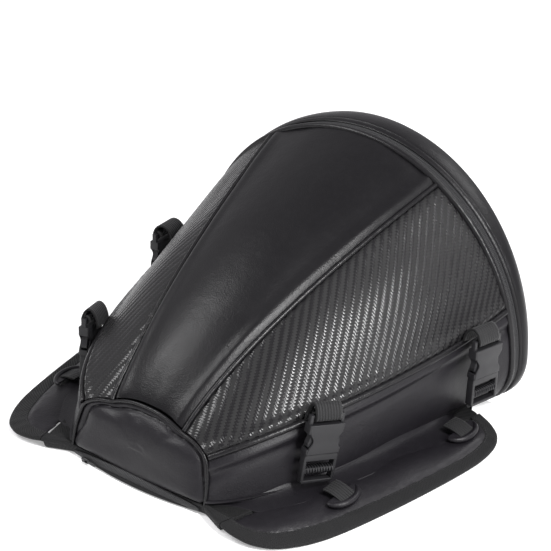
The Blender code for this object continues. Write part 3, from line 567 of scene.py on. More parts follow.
def carbon(name, colour):
    """Coated fabric embossed with a two-over, two-under twill, its threads following the panel's UV."""
    s = Shader(name)
    thread, pick, repeat = 0.0021, 0.0023, 4.0
    run, rise = s.lengths()
    x, y = s.math("DIVIDE", run, thread), s.math("DIVIDE", rise, pick)
    column, row = s.math("FLOOR", x), s.math("FLOOR", y)
    across, up = s.math("FRACT", x), s.math("FRACT", y)
    phase = s.math("FLOORED_MODULO", s.math("SUBTRACT", column, row), repeat)
    over = s.math("LESS_THAN", phase, 1.5)
    ridge_across = s.wave(across, math.pi)
    along = s.math("MULTIPLY", s.math("ADD", phase, s.math("SUBTRACT", 1.0, up)), math.pi / 2)
    bead = s.math("MULTIPLY", ridge_across, s.math("MAXIMUM", s.math("SINE", along), 0.0))
    ground = s.math("MULTIPLY", s.wave(up, math.pi), 0.25)
    weave = s.math("MULTIPLY_ADD", over, s.math("SUBTRACT", bead, ground), ground)
    s.bumps((s.noise(30.0, 3.0, 0.5), 0.0004), (weave, 0.00013), (s.noise(700.0, 2.0, 0.5), 0.00003))
    worn = s.range(s.noise(16.0, 3.0, 0.6), 0.3, 0.7, 0.0, 0.08)
    # The raised beads of the over threads are painted lighter than the ground: a painted highlight on their
    # crests.
    s.set(
        Base_Color=s.mix(s.math("MULTIPLY", over, bead), colour, tint(colour, 2.6)),
        Roughness=s.math("ADD", s.range(over, 0.0, 1.0, 0.68, 0.22), worn),
        Specular_IOR_Level=0.38,
    )
    return s.material


def woven(name, colour, pitch, depth, roughness=0.85, sheen=0.15):
    """Plain-woven tape or webbing, its threads following the piece's UV."""
    s = Shader(name)
    x, y = (s.math("DIVIDE", length, size) for length, size in zip(s.lengths(), pitch))
    odd = s.math("FLOORED_MODULO", s.math("ADD", s.math("FLOOR", x), s.math("FLOOR", y)), 2.0)
    one, other = (s.wave(s.math("FRACT", value), math.pi) for value in (x, y))
    weave = s.math("MULTIPLY_ADD", odd, s.math("SUBTRACT", one, other), other)
    s.bumps((s.noise(55.0, 3.0, 0.6), 0.0005), (weave, depth), (s.noise(1500.0, 2.0, 0.6), 0.00005))
    # Base colour follows the weave's height: painted sheen on the thread crests and painted shade in the
    # hollows between them.
    s.set(
        Base_Color=s.mix(s.range(weave, 0.1, 1.0, 0.0, 1.0), colour, tint(colour, 1.7, 0.003)),
        Roughness=roughness,
        Specular_IOR_Level=0.22,
        Sheen_Weight=sheen,
        Sheen_Roughness=0.4,
    )
    return s.material


def webbing(name, colour):
    """Heavy nylon webbing: ribs along the strap, crossed by fine, close threads."""
    s = Shader(name)
    rib_width, thread = 0.0027, 0.0012
    along, across = s.lengths()
    rib = s.math("ABSOLUTE", s.wave(across, math.pi / rib_width))
    cross = s.math("ABSOLUTE", s.wave(along, math.pi / thread))
    weave = s.math("MULTIPLY_ADD", cross, 0.3, rib)
    s.bumps((s.noise(55.0, 3.0, 0.6), 0.0004), (weave, 0.00045), (s.noise(1500.0, 2.0, 0.6), 0.00005))
    # The ribs' crests are painted lighter and the grooves between them darker: painted sheen and painted
    # shade.
    light = s.range(weave, 0.3, 1.2, 0.0, 1.0)
    s.set(
        Base_Color=s.mix(light, tint(colour, 0.5), tint(colour, 2.2, 0.003)),
        Roughness=0.6,
        Specular_IOR_Level=0.22,
        Sheen_Weight=0.05,
        Sheen_Roughness=0.4,
    )
    return s.material


def moulded(name, colour):
    """Injection-moulded buckle plastic: satin, faintly flowed and scuffed."""
    s = Shader(name)
    s.bumps((s.noise(60.0, 2.0, 0.5), 0.00012), (s.noise(2200.0, 2.0, 0.6), 0.00002))
    scuffs = s.noise(120.0, 5.0, 0.75)
    s.set(
        Base_Color=s.mix(s.range(scuffs, 0.5, 0.8, 0.0, 0.5), colour, tint(colour, 1.35)),
        Roughness=s.range(scuffs, 0.3, 0.75, 0.40, 0.56),
        Specular_IOR_Level=0.36,
    )
    return s.material


def enamel(name, colour):
    """Black enamel on a zip's die-cast slider, rubbed at random."""
    s = Shader(name)
    rubbed = s.noise(260.0, 5.0, 0.7)
    s.bumps((s.noise(900.0, 3.0, 0.6), 0.00003))
    s.set(
        Base_Color=s.mix(s.range(rubbed, 0.55, 0.8, 0.0, 1.0), colour, tint(colour, 2.2)),
        Roughness=s.range(rubbed, 0.3, 0.8, 0.22, 0.42),
        Metallic=0.4,
    )
    return s.material


def zipper(name, colour):
    """Nylon coil on tape: close teeth across the strip's length."""
    s = Shader(name)
    tooth = 0.0016
    teeth = s.wave(s.lengths()[0], 2 * math.pi / tooth)
    s.bumps((teeth, 0.00030), (s.noise(1400.0, 2.0, 0.5), 0.00005))
    # The teeth's tops are painted lighter and the gaps between them darker: painted sheen and painted shade.
    s.set(
        Base_Color=s.mix(s.range(teeth, -1.0, 1.0, 0.0, 1.0), colour, tint(colour, 2)),
        Roughness=0.6,
        Specular_IOR_Level=0.4,
    )
    return s.material


def pale_floor():
    """A matt, almost white floor, with a little light of its own."""
    s = Shader("floor")
    s.set(
        Base_Color=s.mix(s.noise(3.0, 2.0, 0.5), (0.80, 0.80, 0.80), (0.83, 0.83, 0.83)),
        Roughness=0.75,
        Specular_IOR_Level=0.2,
        Emission_Color=(1, 1, 1, 1),
        Emission_Strength=0.3,
    )
    return s.material


LEATHER = leather("smooth_leather_look", (0.0034, 0.0031, 0.0038), 0.31, 0.41)
WING_LEATHER = leather("wing_leather_look", (0.0072, 0.0065, 0.0082), 0.37, 0.48)
PIPING = leather("piping_look", (0.0060, 0.0057, 0.0064), 0.24, 0.34, 0.0002)
CARBON = carbon("carbon_look", (0.0030, 0.0028, 0.0032))
BINDING = woven("binding_look", (0.0034, 0.0034, 0.0037), (0.0018, 0.0016), 0.00030, 0.75, 0.03)
WEBBING = webbing("webbing_look", (0.0050, 0.0050, 0.0054))
LINING = leather("lining_look", (0.0160, 0.0160, 0.0175), 0.30, 0.45, 0.0015)
PLASTIC = moulded("buckle_look", (0.0085, 0.0083, 0.0095))
ENAMEL = enamel("zip_metal_look", (0.0120, 0.0120, 0.0130))
ZIPPER = zipper("zip_look", (0.0090, 0.0090, 0.0098))
THREAD = woven("thread_look", (0.0130, 0.0130, 0.0140), (0.0006, 0.0006), 0.00010)
BOARD = moulded("stiffener_look", (0.0300, 0.0300, 0.0300))


# ---------------------------------------------------------------- shell panels
def add_relief(points, relief):
    """Moves a grid's points out along their normals."""
    return points + grid_normals(points) * relief[..., None]


def on_side(points, side):
    """The same grid on the -X side, with its columns turned round so that it still faces out."""
    return points if side > 0 else (points * [-1, 1, 1])[:, ::-1]


def make_top_panel():
    """The smooth top: a roll along each seam, soft waves, and creases gathered at the nose and the rim."""
    columns = 50
    u = np.linspace(0.010, 0.992, 150)[:, None]
    half = np.linspace(0.012, 1, columns)[None, :]
    points = shell(2, u, half)
    points = np.concatenate([points, (points * [-1, 1, 1])[:, -2::-1]], axis=1)
    share = np.concatenate([half, half[:, -2::-1]], axis=1)
    side = np.concatenate([np.ones(columns), -np.ones(columns - 1)])[None, :]
    seam = share * chord_length(2, u)
    rim = (1 - u) * RIM_SCALE
    nose = u * TOP_NOSE_SCALE
    run = arc_lengths(points, 0)
    # A lumpy roll beside each seam, then the sunk seams, then soft waves and the gathers at both ends.
    relief = 0.0022 * hump(seam, 0.0085, 0.0055) * (0.85 + 0.25 * ripple(run * 60, side, 1))
    relief -= 0.0026 * near(seam, 0.0016)
    relief -= 0.0012 * near(rim, 0.003) + 0.0016 * near(nose, 0.003)
    relief += 0.0012 * ripple(run * 22, points[..., 0] * 26, 2) * smoothstep(seam / 0.03)
    relief += 0.0007 * ripple(points[..., 0] * 190, run * 30, 3) * near(nose, 0.016)
    relief += 0.0005 * ripple(points[..., 0] * 120, run * 20, 4) * near(rim, 0.018)
    return thicken(grid_piece("top_panel_look", add_relief(points, relief)), PANEL_SHEET)


def make_side_panel(side):
    """A side panel, gathered along its seams. Its weave runs along the panel's middle and up across it."""
    columns = 80
    u = np.linspace(0.008, 0.992, 170)[:, None]
    share = np.linspace(0.018, 0.985, columns)[None, :]
    points = shell(1, u, share)
    length = chord_length(1, u)
    low, high = share * length, (1 - share) * length
    rim = (1 - u) * RIM_SCALE
    run = arc_lengths(points, 0)
    # Close gathers along both seams, a roll above the lower one, and slack waves between them.
    gather = ripple(run * 560, share * 4, 5 + side)
    relief = -0.0016 * near(high, 0.003) + 0.0006 * gather * near(high, 0.008)
    relief += 0.0018 * hump(low, 0.0065, 0.0040) - 0.0022 * near(low, 0.0016)
    relief += 0.0004 * gather * near(low, 0.010)
    relief -= 0.0012 * near(rim, 0.003)
    slack = smoothstep(low / 0.03) * smoothstep(high / 0.03)
    relief += 0.0014 * ripple(run * 24, share * 5, 8 + side) * slack
    middle = columns // 2
    weave = grid_of(run[:, middle : middle + 1], arc_lengths(points, 1))
    points = add_relief(points, relief)
    if side < 0:
        points, weave = on_side(points, side), weave[:, ::-1]
    return thicken(grid_piece("side_panel_look", points, uv=weave), PANEL_SHEET)


def make_lower_band(side):
    """The smooth band under the lower seam, turned up a little where it meets the base."""
    u = np.linspace(0.004, 0.992, 170)[:, None]
    share = np.linspace(0.0, 0.965, 60)[None, :]
    points = shell(0, u, share)
    length = chord_length(0, u)
    low, high = share * length, (1 - share) * length
    rim = (1 - u) * RIM_SCALE
    nose = u * BAND_NOSE_SCALE
    run = arc_lengths(points, 0)
    # A roll and a groove under the seam, then waves below them, closer together towards the rim.
    relief = 0.0016 * hump(high, 0.0085, 0.0035) - 0.0012 * hump(high, 0.0150, 0.0045)
    relief -= 0.0020 * near(high, 0.0014)
    relief += 0.0011 * ripple(run * 42, share * 3.2, 11 + side) * smoothstep(high / 0.02)
    relief += 0.0006 * ripple(run * 150, share * 6, 14 + side) * near(rim, 0.03)
    relief -= 0.0012 * near(rim, 0.003) + 0.0012 * near(nose, 0.002)
    points = add_relief(points, relief)
    points[..., 2] = np.maximum(points[..., 2], 0.0030) + 0.0040 * np.clip(1 - low / 0.011, 0, 1)
    return thicken(grid_piece("lower_band_look", on_side(points, side)), PANEL_SHEET)


def make_shell():
    """The shell's panels and the piped welts in their seams."""
    finish_piece(make_top_panel(), "bag", LEATHER, "smooth_leather", "top_panel")
    for side, label in SIDES:
        panel = make_side_panel(side)
        panel.name = f"side_panel_look_{label}"
        finish_piece(panel, "bag", CARBON, "carbon_leather", f"side_panel_{label}")
        band = make_lower_band(side)
        band.name = f"lower_band_look_{label}"
        finish_piece(band, "bag", WING_LEATHER, "smooth_leather", f"lower_band_{label}")
        for line, kind, radius in ((1, "lower", 0.0027), (2, "upper", 0.0021)):
            u = np.linspace(0.010, 0.990, 120)
            path = bezier(FEATURE_LINES[line], u) * [side, 1, 1]
            lumps = radius * (1 + 0.05 * ripple(u * 160, u * 40, line + side))
            welt = tube(f"{kind}_welt_look_{label}", path, lumps)
            finish_piece(welt, "bag", PIPING, "piping", f"{kind}_seam_welt_{label}")


# ---------------------------------------------------------------- nose
NOSE_MIDDLE = np.array([0, NOSE_LEAN * 0.028, 0.028])
NOSE_STRIP_HALF = 0.071
NOSE_STRIP_RISE = 0.0034


def nose_edge(count):
    """The nose face's edge, from the base at +X over the top to the base at -X, evenly spaced."""
    per_panel, reach = 40, 4
    share = np.linspace(0, 1, per_panel)
    panels = [shell(section, np.zeros(per_panel), share) for section in range(3)]
    half = np.concatenate([panels[0][:-1], panels[1][:-1], panels[2]])
    path = evenly_spaced(np.concatenate([half, (half * [-1, 1, 1])[-2::-1]]), count)
    width = 2 * reach + 1
    for k in range(3):
        path[reach:-reach, k] = np.convolve(path[:, k], np.ones(width) / width, "valid")
    return path


def nose_panel_points(edge, rings=46):
    """A half-moon in rings, from its piped edge to its middle: flange, puckered seam, then padding."""
    inset = 0.0016
    outwards = edge - NOSE_MIDDLE
    inner = NOSE_MIDDLE + outwards * (1 - inset / np.linalg.norm(outwards, axis=1))[:, None]
    x_end = inner[0, 0]
    inner = inner[inner[:, 2] > 0.0045]
    low = np.linspace(-x_end, x_end, 60)
    bottom = np.stack([low, 0 * low, 0.0022 + 0.0010 * (low / x_end) ** 2], -1)
    loop = np.concatenate([inner, bottom[1:-1]])
    share = np.linspace(1, 0, rings)[:, None, None] ** 0.8
    points = NOSE_MIDDLE + (loop - NOSE_MIDDLE)[None] * share
    top = np.concatenate([smoothstep((inner[:, 2] - 0.006) / 0.02), np.zeros(len(bottom) - 2)])[None]
    s = share[..., 0]
    edge_distance = (1 - s) * np.linalg.norm(loop - NOSE_MIDDLE, axis=1)[None]
    flange = (0.0052 - 0.022 * points[..., 0]) * top
    beyond = np.clip(edge_distance - flange, 0, 1)
    puckers = ripple(np.arange(len(loop))[None] * 0.34, s * 3, 21)
    # The padding rises from its sewn seam, with puckers beside the seam, broad waves and a full lower edge.
    puff = 0.0064 * (1 - np.exp(-beyond / 0.0075)) + 0.0009 * np.clip(edge_distance / 0.002, 0, 1) * top
    puff += 0.0008 * puckers * hump(beyond, 0.0030, 0.0034) * top
    puff -= 0.0016 * hump(edge_distance - flange, 0.0, 0.0012) * top
    puff += 0.0007 * ripple(points[..., 0] * 50, points[..., 2] * 60, 23)
    puff += 0.0030 * (1 - top) * (1 - (points[..., 0] / x_end) ** 2) * s**3
    # The waves round each ring fade towards the middle, where the rings are short.
    waves = np.fft.rfft(puff, axis=1)
    order = np.arange(waves.shape[1])[None]
    fade = -((order * (1 - s) * 0.22) ** 2) - 50 * order * np.clip(0.12 - s, 0, 1)
    puff = np.fft.irfft(waves * np.exp(fade), puff.shape[1], axis=1)
    points[..., 1] = NOSE_LEAN * points[..., 2] - puff
    return points[:, ::-1]


def make_nose():
    """The padded half-moon, its piping, and the pocket's zip below it, bowed forward at its middle."""
    edge = nose_edge(180)
    panel = grid_piece("nose_panel_look", nose_panel_points(edge), wrap_columns=True)
    mend(panel.data, weld=WELD, face_y=-1)
    smooth(panel.data)
    thicken(panel, PADDED_SHEET)
    finish_piece(panel, "bag", WING_LEATHER, "smooth_leather", "nose_panel")
    path = edge.copy()
    path[:, 2] = np.maximum(path[:, 2], 0.0010)
    path[:, 1] -= 0.0004
    piping = tube("nose_piping_look", path, 0.0015, sides=14, up=(0, 1, 0))
    finish_piece(piping, "bag", PIPING, "piping", "nose_piping")
    across = np.linspace(-NOSE_STRIP_HALF, NOSE_STRIP_HALF, 90)[:, None]
    turn = np.linspace(-1, 1, 15)[None, :]
    bow = (1 - (across / NOSE_STRIP_HALF) ** 2) * (1 - turn**2)
    height = NOSE_STRIP_RISE * np.sqrt(1 - (across / (NOSE_STRIP_HALF + 0.0005)) ** 2)
    strip = grid_piece("nose_zip_look", grid_of(across, -0.0012 - 0.0035 * bow, NOSE_STRIP_Z - height * turn))
    thicken(strip, 0.0014, rounded=False)
    finish_piece(strip, "bag", ZIPPER, "zip_tape", "nose_pocket_zip")


# ---------------------------------------------------------------- base
def even_loop(corners, count):
    """A closed outline with its points evenly spaced."""
    return evenly_spaced(np.asarray(list(corners) + [corners[0]], float), count, endpoint=False)


def make_base():
    """The padded base, its lower edge rounded like a cushion's, its front bowed forward under the nose."""
    front_half, front_y, gap = 0.075, -0.0012, 0.0003
    folds = [(x - gap, y) for x, y, _ in (HINGE_FRONT, HINGE_REAR)]
    half = [(front_half, front_y), *folds, (0.150, 0.266), (0.150, RIM_Y - 0.0034)]
    front = [(front_half * t, front_y) for t in np.linspace(-1, 1, 31)[1:-1]]
    loop = even_loop(half + [(-x, y) for x, y in reversed(half)] + front, 500)
    for _ in range(3):
        loop = (np.roll(loop, 1, 0) + loop + np.roll(loop, -1, 0)) / 3
    inwards = inward_directions(np.roll(loop, -1, 0) - np.roll(loop, 1, 0))
    bow = np.clip(1 - (loop[:, 0] / 0.074) ** 2, 0, 1) * (loop[:, 1] < 0.0)
    # Each ring's inset and height in millimetres, and its share of the front's bow.
    rings = [(0.8, 2.4, 0), (0.5, 2.3, 0), (0.1, 1.7, 0), (0.0, 0.2, 0), (0.3, -1.6, 0.1)]
    rings += [(0.8, -3.2, 0.6), (1.2, -4.6, 1.0), (2.2, -5.8, 1.0), (3.6, -6.6, 0.75), (5.0, -6.98, 0.45)]
    rows = []
    for inset, height, lip in rings:
        flat = loop + inwards * inset / 1000 - np.outer(bow * lip * 0.0085, (0, 1))
        rows.append(np.column_stack([flat, np.full(len(flat), height / 1000)]))
    base = grid_piece("base_look", np.array(rows)[:, ::-1], wrap_columns=True)
    mend(base.data, fill=True)
    smooth(base.data)
    finish_piece(base, "bag", BINDING, "smooth_leather", "base_panel")


def make_nose_slider():
    """The small slider of the nose pocket's zip, with its puller lying along the strip."""
    body = prism("body", [rounded_box(0.0042, 0.0024, 0.0016)], 0.0026, 0.0009, 3, UPRIGHT)
    pull = prism("pull", [rounded_box(0.0065, 0.0014, 0.0013)], 0.0010, 0.0004, 2, UPRIGHT)
    pull.data.transform(Matrix.Translation((0.0060, -0.0008, -0.0002)))
    slider = joined("nose_zip_slider_look", [body, pull])
    slider.data.transform(Matrix.Translation(node_middle("nose_zip_slider")))
    finish_piece(slider, "nose_slider", ENAMEL, "zip_metal", "nose_zip_slider")


# ---------------------------------------------------------------- rim, zip and door
FLAT_POINTS = 24


def d_loop(inset, bottom, arc=120, corner=14, flat=FLAT_POINTS):
    """(x, z) round the D, from the flat edge's +X end over the top, then back along the flat edge."""
    radius = RIM_RADIUS - inset
    turn = math.pi / 2 * (1 - np.arange(corner) / corner)
    low_x = FLAT_HALF + (radius - FLAT_HALF) * np.cos(turn)
    low = grid_of(low_x, RIM_CENTRE_Z - (RIM_CENTRE_Z - bottom) * np.sin(turn))
    angle = math.pi / 2 - math.pi * np.arange(arc + 1) / arc
    over = grid_of(radius * np.sin(angle), RIM_CENTRE_Z + radius * np.cos(angle))
    under = grid_of(-FLAT_HALF + 2 * FLAT_HALF * np.arange(1, flat + 1) / (flat + 1), bottom)
    return np.concatenate([low, over, (low * [-1, 1])[::-1], under])


def door_rear_y(z):
    """How far back the door's rear face lies at this height; it leans back towards its top."""
    return RIM_Y + DOOR_DEPTH + DOOR_LEAN * (z / DOOR_HEIGHT) ** 2


def make_rim():
    """The rim's piping and the two halves of the main zip, all open along the flat edge."""
    loop = d_loop(0.001, 0.0034)[:-FLAT_POINTS]
    path = grid_of(loop[:, 0], RIM_Y, loop[:, 1])
    piping = tube("rim_piping_look", path, 0.0031, sides=16, up=(0, 1, 0))
    finish_piece(piping, "bag", PIPING, "piping", "rim_piping")
    for name, node, body, start in (
        ("zip_bag_look", "main_zip_bag_side", "bag", RIM_Y + 0.0034),
        ("zip_door_look", "main_zip_door_side", "door", RIM_Y + 0.0078),
    ):
        loop = d_loop(0.0014, 0.003)[:-FLAT_POINTS]
        across = np.linspace(0, 0.004, 4)[None]
        strip = grid_piece(name, grid_of(loop[:, :1], start + across, loop[:, 1:]))
        thicken(strip, PATCH_SHEET, rounded=False)
        finish_piece(strip, body, ZIPPER, "zip_tape", node)


def make_door_wall():
    """The door's wide smooth wall, crowned and creased just behind its front edge, with its rear piping."""
    loop = d_loop(0.0, 0.0)
    rear = door_rear_y(loop[:, 1]) - 0.0034
    out = loop - [0, RIM_CENTRE_Z]
    out /= np.linalg.norm(out, axis=1, keepdims=True)
    height = smoothstep(loop[:, 1] / RIM_CENTRE_Z)[:, None]
    length = run_lengths(loop)[:, None]
    s = np.linspace(0, 1, 26)[None, :]
    # A low crown, the seam at its front edge, the crease behind that seam, and slight waves.
    crown = 0.0019 * 4 * s * (1 - s) * height - 0.0008 * near(s * 0.03, 0.0010)
    crown -= 0.0010 * hump(s, 0.15, 0.022) * height
    crown += 0.0004 * ripple(length * 22, s * 2.0, 31)
    x = loop[:, :1] + out[:, :1] * crown
    z = np.maximum(loop[:, 1:] + out[:, 1:] * crown, 0.0)
    y = DOOR_FRONT_Y + (rear[:, None] - DOOR_FRONT_Y) * s
    points = grid_of(x, y, z)
    wall = grid_piece("door_wall_look", np.concatenate([points, points[:1]], axis=0))
    thicken(wall, WALL_SHEET)
    finish_piece(wall, "door", LEATHER, "smooth_leather", "door_wall")
    loop = d_loop(0.0014, 0.0034)
    path = grid_of(loop[:, 0], door_rear_y(loop[:, 1]) - 0.0012, loop[:, 1])
    piping = tube("door_piping_look", path, 0.0024, cyclic=True, sides=16, up=(0, 1, 0))
    finish_piece(piping, "door", PIPING, "piping", "door_piping")


def make_door_panel():
    """The door's padded rear panel, domed inside a seam that runs round it near its edge."""
    loop = d_loop(0.0032, 0.0050, arc=100, corner=12, flat=70)
    centre = np.array([0.0, 0.095])
    share = np.linspace(1, 0, 44)[:, None] ** 0.85
    x = loop[None, :, 0] * share
    z = centre[1] + (loop[None, :, 1] - centre[1]) * share
    edge = (1 - share) * np.linalg.norm(loop - centre, axis=1)[None]
    dome = 0.0055 * (1 - share**3) - 0.0012 * hump(edge, 0.006, 0.0018)
    dome = dome + 0.0012 * ripple(x * 26, z * 26, 41)
    dome = dome + 0.0006 * ripple(np.arange(len(loop))[None] * 0.6, edge * 60, 42) * near(edge, 0.010)
    panel = grid_piece("door_panel_look", grid_of(x, door_rear_y(z) + dome, z), wrap_columns=True)
    mend(panel.data, weld=WELD, face_y=1)
    smooth(panel.data)
    thicken(panel, PADDED_SHEET)
    finish_piece(panel, "door", LEATHER, "smooth_leather", "door_panel")


# ---------------------------------------------------------------- wings
WING_EDGE = (
    (0.1015, -0.0125),
    (0.1150, -0.0150),
    (0.1360, -0.0125),
    (0.1560, 0.0020),
    (0.1750, 0.0380),
    (0.1920, 0.1080),
    (0.2050, 0.1850),
    (0.2060, 0.2220),
    (0.1990, 0.2430),
    (0.1850, 0.2550),
    (0.1685, 0.2615),
)
BINDING_SHARES = (0, 0.12, 0.25, 0.5, 0.8, 1)
BINDING_WIDTHS = (0.012, 0.0175, 0.0185, 0.0160, 0.0130, 0.0115)
BINDING_TOP = 0.0041
PAD_INSET = 0.0032
PAD_LOW = 0.0036
PAD_RISE = 0.0060
TIE_PLACES = {"front": (0.152, 0.078), "rear": (0.173, 0.220)}
BUCKLES = (
    ("front_right", 1, 0.377),
    ("front_left", -1, 0.395),
    ("rear_right", 1, 0.855),
    ("rear_left", -1, 0.835),
)


def smooth_path(points, per_span):
    """A smooth curve through a few points, each span in this many steps."""
    points = np.asarray(points, float)
    padded = np.vstack([points[:1], points, points[-1:]])
    out = []
    t = (np.arange(per_span) / per_span)[:, None]
    for i in range(len(points) - 1):
        a, b, c, d = padded[i : i + 4]
        bend = (2 * a - 5 * b + 4 * c - d) * t * t + (3 * b - a - 3 * c + d) * t**3
        out.append(0.5 * (2 * b + (c - a) * t + bend))
    return np.vstack([*out, points[-1:]])


def hinge_x(y):
    """Where the wing's fold line lies, this far back."""
    run, rise = HINGE_REAR[1] - HINGE_FRONT[1], HINGE_REAR[0] - HINGE_FRONT[0]
    return HINGE_FRONT[0] + (y - HINGE_FRONT[1]) / run * rise


def droop(points, side):
    """Turns points of a flat wing down about its fold line to the slope at which it lies."""
    hinge = (HINGE_REAR - HINGE_FRONT) * [side, 1, 1]
    turn = Matrix.Rotation(side * WING_DROOP, 3, Vector(hinge))
    start = HINGE_FRONT * [side, 1, 1]
    return (np.asarray(points, float) - start) @ np.array(turn).T + start


def wing_edge_path():
    """The outer edge with its inward directions, evenly spaced."""
    path = smooth_path(WING_EDGE, 12)
    return path, inward_directions(np.gradient(path, axis=0))


def binding_width(path):
    """How wide the binding lies along the free edge: widest round the front, narrow at its ends."""
    run = run_lengths(path)
    return np.interp(run / run[-1], BINDING_SHARES, BINDING_WIDTHS)


def start_cap(points):
    """A grid with one more row before its first, drawn together in one point: it closes a loop's near end."""
    middle = points[:1].mean(axis=1, keepdims=True)
    return np.concatenate([np.repeat(middle, points.shape[1], 1), points])


def binding_strip(name, path, inwards, wide, side, low, high, wing):
    """A soft-edged flat strip along an edge, kept between two distances from the wing's fold line."""
    lip_width, full_width = 0.0022, 0.0185
    turn = np.linspace(-0.5, 0.5, 9) * math.pi
    lip = grid_of(lip_width * (1 - np.cos(turn)), 0.0020 + 0.0020 * np.sin(turn))
    top = grid_of(np.linspace(lip_width, full_width, 9)[1:-1], BINDING_TOP)
    profile = np.concatenate([lip, top, [[full_width, 0.0034], [full_width, 0.0004]]])
    inset, height = profile[None, :, 0], profile[None, :, 1]
    run = run_lengths(path)[:, None]
    lift = 0.0003 * ripple(run * 300, inset * 90, 51)
    depth = np.where(inset > lip_width + 0.0001, inset * wide[:, None] / full_width, inset)
    spot = path[:, None] + inwards[:, None] * depth[..., None]
    x = hinge_x(spot[..., 1]) + np.clip(spot[..., 0] - hinge_x(spot[..., 1]), low, high)
    z = np.maximum(height + lift * (height > 0.0035), 0.0001)
    points = start_cap(grid_of(x, spot[..., 1], z)) * [side, 1, 1]
    uv = grid_of(run, inset + height)
    uv = np.concatenate([uv[:1], uv])
    if wing:
        points = droop(points.reshape(-1, 3), side).reshape(points.shape)
    else:
        points[..., 2] -= 0.0002
    obj = grid_piece(name, points, wrap_columns=True, uv=uv)
    mend(obj.data, weld=WELD)
    smooth(obj.data)
    return obj


def make_binding(side, label):
    """The flat woven binding round the wing's free edge, and its end over the base's corner by the nose."""
    path, inwards = wing_edge_path()
    wide = binding_width(path)
    obj = binding_strip(f"wing_binding_look_{label}", path, inwards, wide, side, 0.0003, 1, True)
    finish_piece(obj, f"wing_{label}", BINDING, "zip_tape", f"wing_binding_{label}")
    row = path + inwards * (wide[:, None] - 0.0026)
    row = row[row[:, 0] > hinge_x(row[:, 1]) + 0.002]
    points = np.column_stack([row * [side, 1], np.full(len(row), BINDING_TOP)])
    points = droop(points, side)
    normals = np.tile([0.12 * side, 0, 0.99], (len(points), 1))
    thread = stitches(f"wing_stitching_look_{label}", [(points, normals)])
    finish_piece(thread, f"wing_{label}", THREAD, "webbing")
    share = np.linspace(0, 1, 20)[:, None]
    bow = np.array([0.0025, -0.0030]) * np.sin(math.pi * share)
    edge = np.array([0.0745, -0.0016]) * (1 - share) + HINGE_FRONT[:2] * share + bow * 0.35
    inner = np.tile([0.36, 0.93], (len(edge), 1))
    wide = 0.004 + 0.008 * share[:, 0]
    ledge = binding_strip(f"ledge_binding_look_{label}", edge, inner, wide, side, -1, -0.0002, False)
    finish_piece(ledge, "bag", BINDING, "zip_tape")


def inset_outline(distance):
    """The pad's plan outline: this far under the binding's inner edge, and closed along the fold line."""
    gap = 0.0006
    path, inwards = wing_edge_path()
    inner = path + inwards * (binding_width(path)[:, None] - distance)
    inner = inner[inner[:, 0] > hinge_x(inner[:, 1]) + gap]
    start, end = inner[-1], inner[0]
    back = np.linspace(0, 1, 40)[:, None]
    fold_start = np.array([hinge_x(start[1]) + gap, start[1]])
    fold_end = np.array([hinge_x(end[1]) + gap, end[1]])
    return np.concatenate([inner, fold_start + (fold_end - fold_start) * back])


def swell(obj, cap, floor):
    """Puffs a pad with a short cloth simulation, its underside held down, and keeps it under the cap."""
    frames = 20
    rest = mesh_points(obj.data)
    group = obj.vertex_groups.new(name="held")
    held = [v.index for v in obj.data.vertices if v.co.z < floor]
    group.add(held, 1.0, "REPLACE")
    cloth = obj.modifiers.new("cloth", "CLOTH")
    cloth.settings.vertex_group_mass = "held"
    cloth.settings.use_pressure = True
    cloth.settings.uniform_pressure_force = 4.0
    cloth.settings.effector_weights.gravity = 0
    cloth.settings.quality = 4
    cloth.point_cache.frame_start = 1
    cloth.point_cache.frame_end = frames
    scene = bpy.context.scene
    for number in range(1, frames + 1):
        scene.frame_set(number)
    graph = bpy.context.evaluated_depsgraph_get()
    moved = mesh_points(obj.evaluated_get(graph).data) - rest
    distance = np.linalg.norm(moved, axis=1, keepdims=True)
    moved *= np.minimum(1, cap / np.maximum(distance, 1e-9))
    obj.modifiers.remove(cloth)
    set_points(obj.data, rest + moved)
    scene.frame_set(1)


def pad_top(fold):
    """How high the pad stands this far out from the fold line."""
    return PAD_LOW + PAD_RISE * smoothstep(fold / 0.030)


